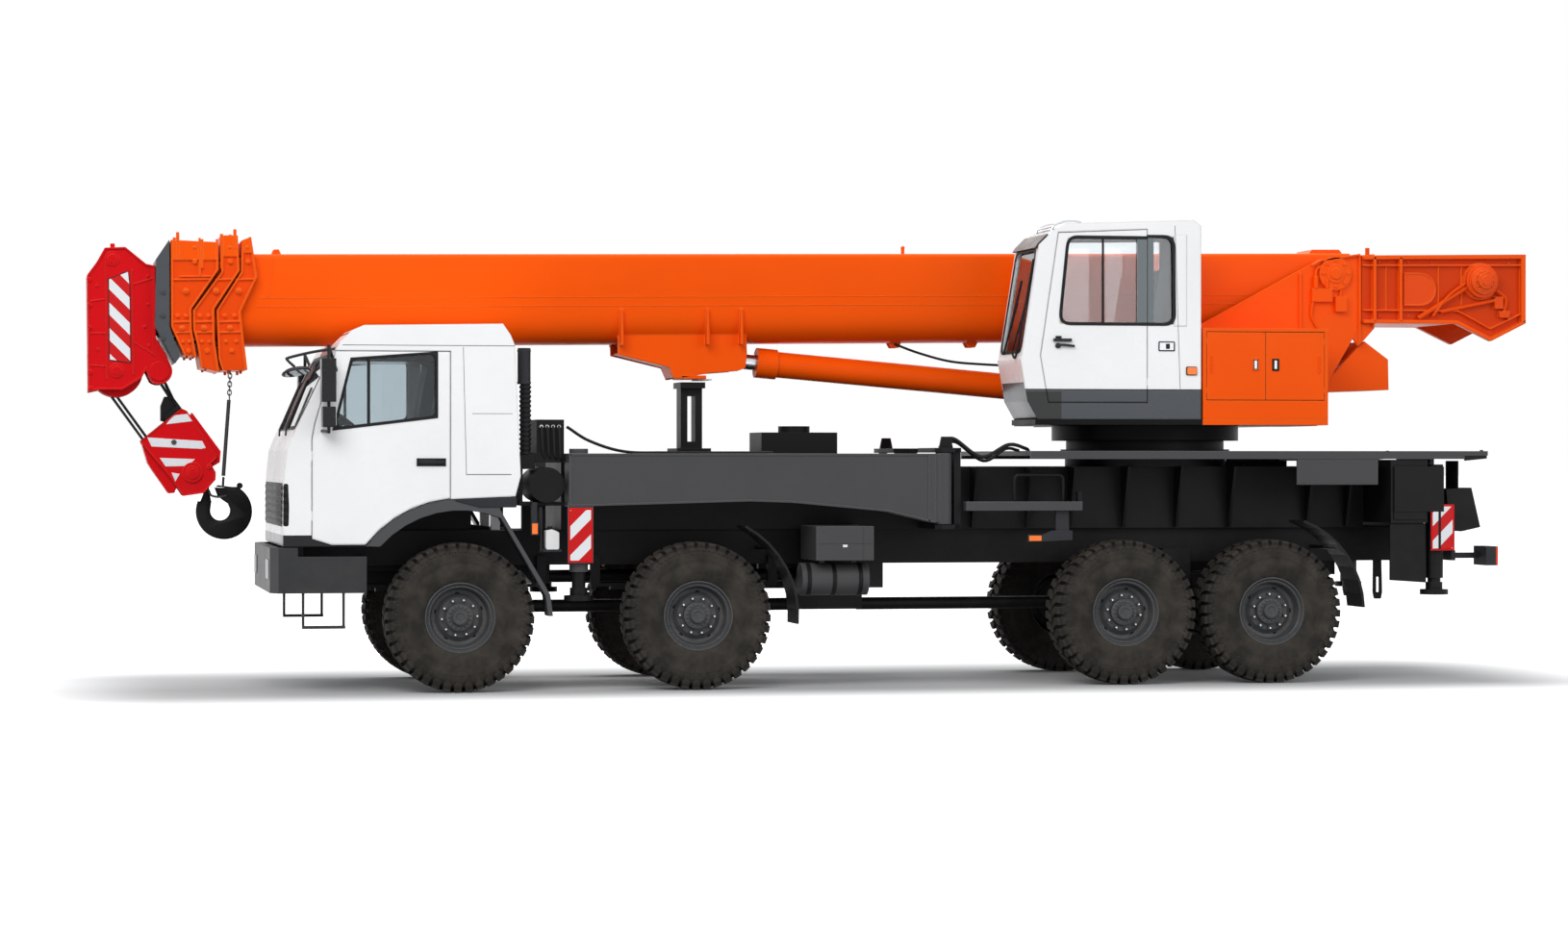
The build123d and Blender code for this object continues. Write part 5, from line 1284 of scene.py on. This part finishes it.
def boom_head():
    """The inner section with its black flange and the red sheave head."""
    kit = Kit("inner_section").use("orange")
    section_tube(kit, 3, [(-5842, 4000), (-5842, 2800)], 4050)
    outline = NOSE_EDGES[0] + NOSE_EDGES[1][::-1]
    kit.use("band").plates(outline, 232, 400)
    kit.prism(cut_at(outline, 3742, True), -396, 396)
    kit.prism(cut_at(outline, 3130, False), -396, 396)
    kit.use("red")
    # The rounded lower rear lobe of each cheek
    lobe = arc(REAR_AXLE, 110, 20, -130, 11)
    cheek = [(-6412, 3651), (-6329, 3764), (-6261, 3883), (-6089, 3889), (-5916, 3745), (-5842, 3730),
             (-5842, 3120), (-5760, 2980), *lobe, (-5930, 2838), (-5966, 2775), (-6126, 2676),
             (-6322, 2678), (-6412, 2660)]
    kit.plates(cheek, 270, 300)
    kit.plates(cheek[:7] + [(-5930, 2900), (-6126, 2690), (-6412, 2670)], 20, 40)
    kit.block((-5870, -5842), (-299, 299), (3000, 3730))
    kit.block((-6412, -6397), (-299, 299), (2990, 3640))
    kit.blocks((-6412, -6397), (150, 299), (2700, 2995))
    # Ribs round the edge of each cheek and across it
    kit.bands(cheek, 16, 299, 316)
    kit.blocks((-6262, -6250), (298, 312), (2760, 3760))
    kit.blocks((-6040, -6028), (298, 312), (2800, 3700))
    for (xa, za), (xb, zb) in (((-6402, 3420), (-6262, 3440)), ((-6402, 3150), (-6262, 3150)),
                               ((-6402, 2880), (-6262, 2870)), ((-6040, 3560), (-5850, 3620)),
                               ((-6040, 3080), (-5850, 2960))):
        kit.plates([(xa, za), (xb, zb), (xb, zb + 12), (xa, za + 12)], 298, 310)
    for axle in (UPPER_AXLE, LOWER_AXLE):
        kit.pin(axle, -314, 314, 62, 28).pins(axle, 300, 322, 40, 20)
    kit.pins(REAR_AXLE, 170, 314, 50, 28).pins(REAR_AXLE, 300, 318, 84, 28)
    for z in (3615, 3400, 3209):
        kit.pin((-6396, z), -300, 300, 18, 14).pins((-6396, z), 299, 324, 18, 14)
    kit.pins((-6396, 2829), 160, 324, 18, 14).pins((-6390, 2690), 160, 324, 18, 14)
    kit.bar((-6190, 0, 3860), (-6190, 0, 3935), 20, 14)
    kit.block((-6261, -6089), (-299, 299), (3830, 3880))
    for place in ((-5905, 3640), (-5905, 3400), (-5935, 3210), (-5900, 3050), (-6330, 3560), (-6330, 3020)):
        kit.pins(place, 298, 312, 15, 6)
    # Sheaves: large ones on the lower axle, small ones on the upper and the rear axle
    for y in (-200, -120, 120, 200):
        kit.use("red").pin(LOWER_AXLE, y - 22, y + 22, 224, 56).use("black")
        axle, radius = (UPPER_AXLE, 95) if abs(y) < 150 else (REAR_AXLE, 90)
        kit.pin(axle, y - 22, y + 22, radius, 40)
    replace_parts(kit.tip().done("boom_nose", "signal_red", 3), "boom_head")


def arc(centre, radius, start, end, count):
    """Points on a circle from one angle to another, in degrees from +X."""
    angles = [math.radians(start + (end - start) * i / (count - 1)) for i in range(count)]
    return [(centre[0] + radius * math.cos(a), centre[1] + radius * math.sin(a)) for a in angles]


# Winch
def winch_carrier():
    """The open frame behind the boom: webs between rails in a darker orange of painted shade, uprights, brace
    and the winch's gearbox.
    """
    web, rail, lip = (450.3, 462), (451, 520), (451, 505)
    kit = Kit("winch_carrier").use("strong_shade_orange")
    # The webs between the rails take the darkest orange, painted shade in the recess
    kit.plates([(4900, 3191), (5776, 3191), (6112, 3035), (6447, 3200), (6447, 3826), (4900, 3802)], *web)
    kit.use("orange")
    kit.plates([(4900, 3766), (6447, 3788), (6447, 3826), (4900, 3802)], *rail)
    kit.plates([(4900, 3706), (6447, 3722), (6447, 3734), (4900, 3718)], *lip)
    kit.plates([(4900, 3191), (5776, 3191), (6112, 3035), (6447, 3200), (6447, 3232), (6112, 3068),
                (5790, 3222), (4900, 3222)], *rail)
    kit.plates([(4900, 3303), (5800, 3303), (6112, 3143), (6447, 3298), (6447, 3310), (6112, 3155),
                (5803, 3315), (4900, 3315)], *lip)
    for x in ((4992, 5016), (5240, 5264), (6405, 6446)):
        kit.blocks(x, rail, (3210, 3790))
    for x in (5120, 5620, 5840):
        kit.blocks((x, x + 10), (web[0], 478), (3315, 3718))
    # The raised cover with a round end, between the uprights and the winch, in the darker orange of painted
    # shade
    cover = [(5290, 3350), *arc((5450, 3500), 150, -90, 90, 13), (5290, 3650)]
    kit.use("collar_orange").plates(cover, web[0], 482).bands(cover, 14, 480, 490)
    kit.block((6400, 6446), (-451, 451), (3230, 3800))
    kit.block((5030, 5760), (-451, 451), (3191, 3215))
    # The stepped gearbox on the left and its bearing on the right
    centre = (6016, 3578)
    kit.pins(centre, 400, 452, 110, 36)
    for radius, outer in ((170, 500), (150, 560), (120, 600), (100, 610), (70, 640), (44, 655)):
        kit.pin(centre, -outer, -450, radius, 40)
    kit.pin(centre, 450, 500, 150, 40)
    # Columns: how many bolts, circle's radius, low and high Y, bolt's radius
    for count, reach, low, high, radius in ((12, 158, -510, -498, 11), (10, 84, -622, -608, 9)):
        for angle in steps(0, math.tau, count):
            place = (centre[0] + reach * math.cos(angle), centre[1] + reach * math.sin(angle))
            kit.pin(place, low, high, radius, 6)
    kit.bar((5420, -500, 3240), (5880, -500, 3520), 22, 14)
    kit.bar((5640, -500, 3300), (6220, -500, 3420), 18, 14)
    kit.pipe([(5560, -500, 3260), (5700, -520, 3440), (5860, -530, 3560)], 13, 8, 6)
    kit.pipe([(6160, -520, 3500), (6260, -500, 3420), (6250, -490, 3300), (6300, -490, 3240)], 15, 8, 6)
    kit.block((6150, 6230), (-520, -460), (3330, 3440))
    kit.prism([(6200, 3250), (6290, 3250), (6300, 3310), (6190, 3310)], -515, -460)
    kit.bar((4940, -490, 3790), (4940, -490, 3870), 20, 12)
    for x in (5060, 5340, 5560, 6300):
        for z in (3260, 3745):
            kit.bar((x, -462, z), (x, -476, z), 10, 6)
    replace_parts(kit.done("turntable", "crane_orange", 3), "winch_frame")


def boom_details():
    """Lap lines and studs on the boom, the cable under it and the black flange's bolts."""
    kit = Kit("boom_base_lines").use("orange")
    face = (BOOM_HALF_WIDTH - 0.5, BOOM_HALF_WIDTH + 2.5)
    kit.blocks((-4960, 4300), face, (3448, 3456)).blocks((-5000, 4300), face, (3372, 3380))
    for i in range(13):
        kit.pins((-4885 + 4 * i, 3470 + 26 * i), BOOM_HALF_WIDTH - 1, BOOM_HALF_WIDTH + 3.5, 5.5, 6)
    kit.use("bottle").block((-1140, -1020), (-180, 180), (2722, 2734))
    kit.tip().done("boom", "crane_orange")
    kit = Kit("boom_cable").use("seal")
    cable = [(662, 2990), (704, 2974), (879, 2912), (1148, 2842), (1419, 2816), (1799, 2806), (2100, 2850)]
    kit.pipe([(x, -75, z) for x, z in cable], 11, 8, 6)
    kit.done("boom", "black_plastic")
    kit = Kit("flange_bolts").use("dark_steel")
    for place in ((-5780, 3500), (-5785, 3300), (-5785, 3110)):
        kit.pins(place, 399, 414, 22, 6)
    kit.tip().done("boom_nose", "chassis_black")


# Hook
def hook_assembly():
    """Sheave block between striped plates, forged hook with its catch, and the rope falls."""
    hook_axle, sheave_axle = (-5524, 1851), (-5680, 2110)
    kit = Kit("hook_and_block").use("red")
    plate = [(-5617, 2399), (-5959, 2121), (-5949, 2094), (-5726, 1827), (-5602, 1648), (-5425, 1674),
             (-5326, 1790), (-5326, 1853), (-5368, 1927), (-5316, 1974), (-5316, 2000), (-5571, 2378)]
    guard = [(-5524, 2363), (-5282, 2032), (-5290, 1937), (-5352, 1900), (-5420, 2000), (-5600, 2250)]
    rear = [(-5949, 2094), (-5902, 1932), (-5866, 1874), (-5726, 1670), (-5674, 1675), (-5640, 1760)]
    kit.plates(plate, 150, 175).bands(plate, 10, 174, 184)
    kit.prism(guard, -148, 148).prism(rear, -148, 148)
    kit.prism([(-5620, 1690), (-5560, 1830), (-5420, 1830), (-5350, 1790), (-5440, 1680)], -149, 149)
    kit.pin(hook_axle, -196, 196, 86, 36).pins(hook_axle, 194, 208, 56, 28)
    kit.pins(hook_axle, 206, 212, 34, 24).pins((-5380, 1900), 174, 190, 20, 12)
    kit.use("hook_stripe")
    # White bands across the plate, each an outline in X and Z
    for stripe in ([(-5690, 2338), (-5560, 2352), (-5520, 2290), (-5745, 2262)],
                   [(-5905, 2150), (-5440, 2120), (-5410, 2060), (-5450, 2052), (-5868, 2072)],
                   [(-5800, 1975), (-5500, 1965), (-5560, 1905), (-5750, 1902)],
                   [(-5700, 1850), (-5630, 1838), (-5668, 1772)]):
        kit.plates(stripe, 173, 178)
    kit.use("dark_steel").pins(sheave_axle, 174, 190, 24, 6)
    kit.use("black")
    for y in (-120, 120):
        kit.pin(sheave_axle, y - 26, y + 26, 186, 48)
    kit.prism([(-5757, 2500), (-5788, 2420), (-5788, 2294), (-5700, 2270), (-5602, 2390), (-5685, 2500)],
              -90, 90)
    kit.plates([(-5757, 2330), (-5700, 2200), (-5600, 2260), (-5650, 2420)], 90, 149)
    # The forged hook: round bowl, throat, beak and neck
    outline = [(-5430, 1800), (-5424, 1664), (-5450, 1600), *arc((-5248, 1514), 240, 158, 422, 34),
               (-5170, 1726), (-5270, 1719), (-5330, 1721), (-5304, 1650), (-5256, 1609), (-5215, 1582),
               *arc((-5281, 1522), 85, 12, -195, 24), (-5356, 1600), (-5376, 1690), (-5372, 1800)]
    kit.loft([[(x, y, z) for x, z in shrunk(outline, width)] for width, y in
              ((18, -45), (6, -38), (0, -26), (0, 26), (6, 38), (18, 45))])
    kit.pin((-5113, 1736), -26, 26, 26, 18)
    kit.prism([(-5135, 1716), (-5105, 1716), (-5300, 1742), (-5322, 1726)], -12, 12)
    # Rope falls from the head's lower and rear sheaves down to the block
    for (xa, za), (xb, zb) in (((-6322, 2668), (-5836, 1992)), ((-6250, 2632), (-5770, 1962)),
                               ((-5800, 2725), (-5610, 2330)), ((-5868, 2745), (-5700, 2480))):
        for y in (-120, 120):
            kit.bar((xa, y, za), (xb, y, zb), 9, 10)
    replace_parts(kit.done("hook", "signal_red", 3), "hook_block")


def hook_rigging():
    """The stay strap and its chain beside the hook, with shackle and catch spring."""
    y = -130
    kit = Kit("hook_strap").use("dark_steel")
    kit.bar((-5212, y, 2474), (-5259, y, 1821), 16, 12)
    # Chain links, each turned a quarter from the one below
    for i in range(7):
        x, z = -5208 + i, 2500 + 36 * i
        ring = []
        for angle in steps(0, math.tau, 12):
            across, up = 16 * math.cos(angle), 26 * math.sin(angle)
            ring.append((x + (across if i % 2 else 0), y + (0 if i % 2 else across), z + up))
        kit.pipe([*ring, ring[0]], 5, 6, 1)
    kit.pipe([(-5259, y - 25, 1800), (-5262, y - 22, 1750), (-5264, y, 1732), (-5262, y + 22, 1750),
              (-5259, y + 25, 1800)], 10, 8, 6)
    kit.bar((-5259, y - 38, 1802), (-5259, y + 38, 1802), 11, 10)
    kit.done("hook", "chassis_black")
    kit = Kit("block_fittings").use("dark_steel")
    kit.pipe([(-5380, -45, 1700), (-5360, -50, 1655), (-5300, -50, 1640), (-5230, -48, 1650)], 10, 8, 5)
    kit.done("hook", "chassis_black")


# Stage
FLOOR_HALF_SIZE = 400.0
# Columns: name, place, aim, width, height, watts
LAMPS = [("key", (-9, -15, 13), (0, 0, 2), 12, 8, 1800), ("fill", (12, -17, 7), (1, 0, 2), 12, 8, 760),
         ("top", (0, 2, 15), (0, 0, 2), 16, 6, 1100), ("back", (4, 16, 10), (0, 0, 2), 14, 8, 600)]


def studio():
    """White surroundings, a pale floor that keeps the cast shadow and adds a painted shadow round the
    vehicle, and soft lamps.
    """
    scene = bpy.context.scene
    scene.view_settings.view_transform = "Standard"
    scene.world = bpy.data.worlds.new("surroundings")
    scene.world.use_nodes = True
    nodes = Nodes(scene.world.node_tree)
    nodes.tree.nodes.clear()
    mix = nodes.node("ShaderNodeMixShader")
    nodes.link(nodes.direct_rays(), mix.inputs[0])
    # Columns: the mix's input, colour, strength
    for place, colour, strength in ((1, (0.94, 0.97, 1.0, 1), 0.66), (2, (1, 1, 1, 1), 1.0)):
        light = nodes.node("ShaderNodeBackground")
        light.inputs["Color"].default_value = colour
        light.inputs["Strength"].default_value = strength
        nodes.link(light.outputs[0], mix.inputs[place])
    nodes.link(mix.outputs[0], nodes.node("ShaderNodeOutputWorld").inputs["Surface"])
    half = FLOOR_HALF_SIZE
    data = bpy.data.meshes.new("studio_floor")
    data.from_pydata([(-half, -half, 0), (half, -half, 0), (half, half, 0), (-half, half, 0)], [],
                     [(0, 1, 2, 3)])
    data.materials.append(floor_material())
    floor = bpy.data.objects.new("studio_floor", data)
    scene.collection.objects.link(floor)
    for name, place, aim, width, height, watts in LAMPS:
        lamp = bpy.data.lights.new(name, "AREA")
        lamp.shape = "RECTANGLE"
        lamp.size, lamp.size_y, lamp.energy = width, height, watts
        holder = bpy.data.objects.new(name, lamp)
        holder.location = place
        holder.rotation_euler = (Vector(aim) - Vector(place)).to_track_quat("-Z", "Y").to_euler()
        scene.collection.objects.link(holder)


def floor_material():
    """Pale floor: its own light towards the camera, plus the light that falls on it; its own light dims round
    the vehicle as a painted shadow.
    """
    material = bpy.data.materials.new("pale_floor")
    material.use_nodes = True
    nodes = Nodes(material.node_tree)
    nodes.tree.nodes.clear()
    glow, matt = nodes.node("ShaderNodeEmission"), nodes.node("ShaderNodeBsdfDiffuse")
    seen = nodes.direct_rays()
    shade = nodes.node("ShaderNodeMix", data_type="RGBA")
    shade.inputs["A"].default_value = (0.34, 0.34, 0.35, 1)
    shade.inputs["B"].default_value = (0.52, 0.52, 0.52, 1)
    nodes.link(seen, shade.inputs["Factor"])
    nodes.link(shade.outputs["Result"], matt.inputs["Color"])
    nodes.link(seen, glow.inputs["Strength"])
    parts = nodes.node("ShaderNodeSeparateXYZ")
    nodes.link(nodes.node("ShaderNodeTexCoord").outputs["Object"], parts.inputs[0])
    apart = nodes.node("ShaderNodeCombineXYZ")
    # Columns: axis, half size of the ground that the vehicle covers
    for letter, half in (("X", 5.6), ("Y", 1.2)):
        past = nodes.minus(nodes.math("ABSOLUTE", parts.outputs[letter]), half)
        nodes.link(nodes.math("MAXIMUM", past, 0.0), apart.inputs[letter])
    middle = nodes.node("ShaderNodeVectorMath", operation="LENGTH")
    nodes.link(apart.outputs[0], middle.inputs[0])
    # Painted shadow: the floor's own light grows from nearly none at the vehicle to full white further out
    shadow_fade = nodes.node("ShaderNodeMapRange", interpolation_type="SMOOTHSTEP")
    for name, value in (("From Min", 0.0), ("From Max", 2.4), ("To Min", 0.02), ("To Max", 1.0)):
        shadow_fade.inputs[name].default_value = value
    nodes.link(middle.outputs["Value"], shadow_fade.inputs["Value"])
    nodes.link(shadow_fade.outputs[0], glow.inputs["Color"])
    both = nodes.node("ShaderNodeAddShader")
    nodes.link(glow.outputs[0], both.inputs[0])
    nodes.link(matt.outputs[0], both.inputs[1])
    nodes.link(both.outputs[0], nodes.node("ShaderNodeOutputMaterial").inputs["Surface"])
    return material


def camera():
    """The photograph's viewing angle."""
    data = bpy.data.cameras.new("camera")
    data.lens = CAMERA_LENS
    data.sensor_width = SENSOR_WIDTH
    data.clip_end = 1500
    holder = bpy.data.objects.new("camera", data)
    holder.location = CAMERA_PLACE
    holder.rotation_euler = (math.pi / 2 - CAMERA_DIP, 0, -CAMERA_TURN)
    bpy.context.scene.collection.objects.link(holder)
    bpy.context.scene.camera = holder


for make in (dress_nodes, wheels, warning_plates, truck_doors, truck_cab_trim, grille_and_mirror,
             intake_rings, beam_flanges, deck_fittings, deck_lines, operator_trim, operator_front,
             machinery_fittings, turntable_fittings, base_section, middle_sections, boom_head,
             winch_carrier, boom_details, hook_assembly, hook_rigging, studio, camera):
    make()
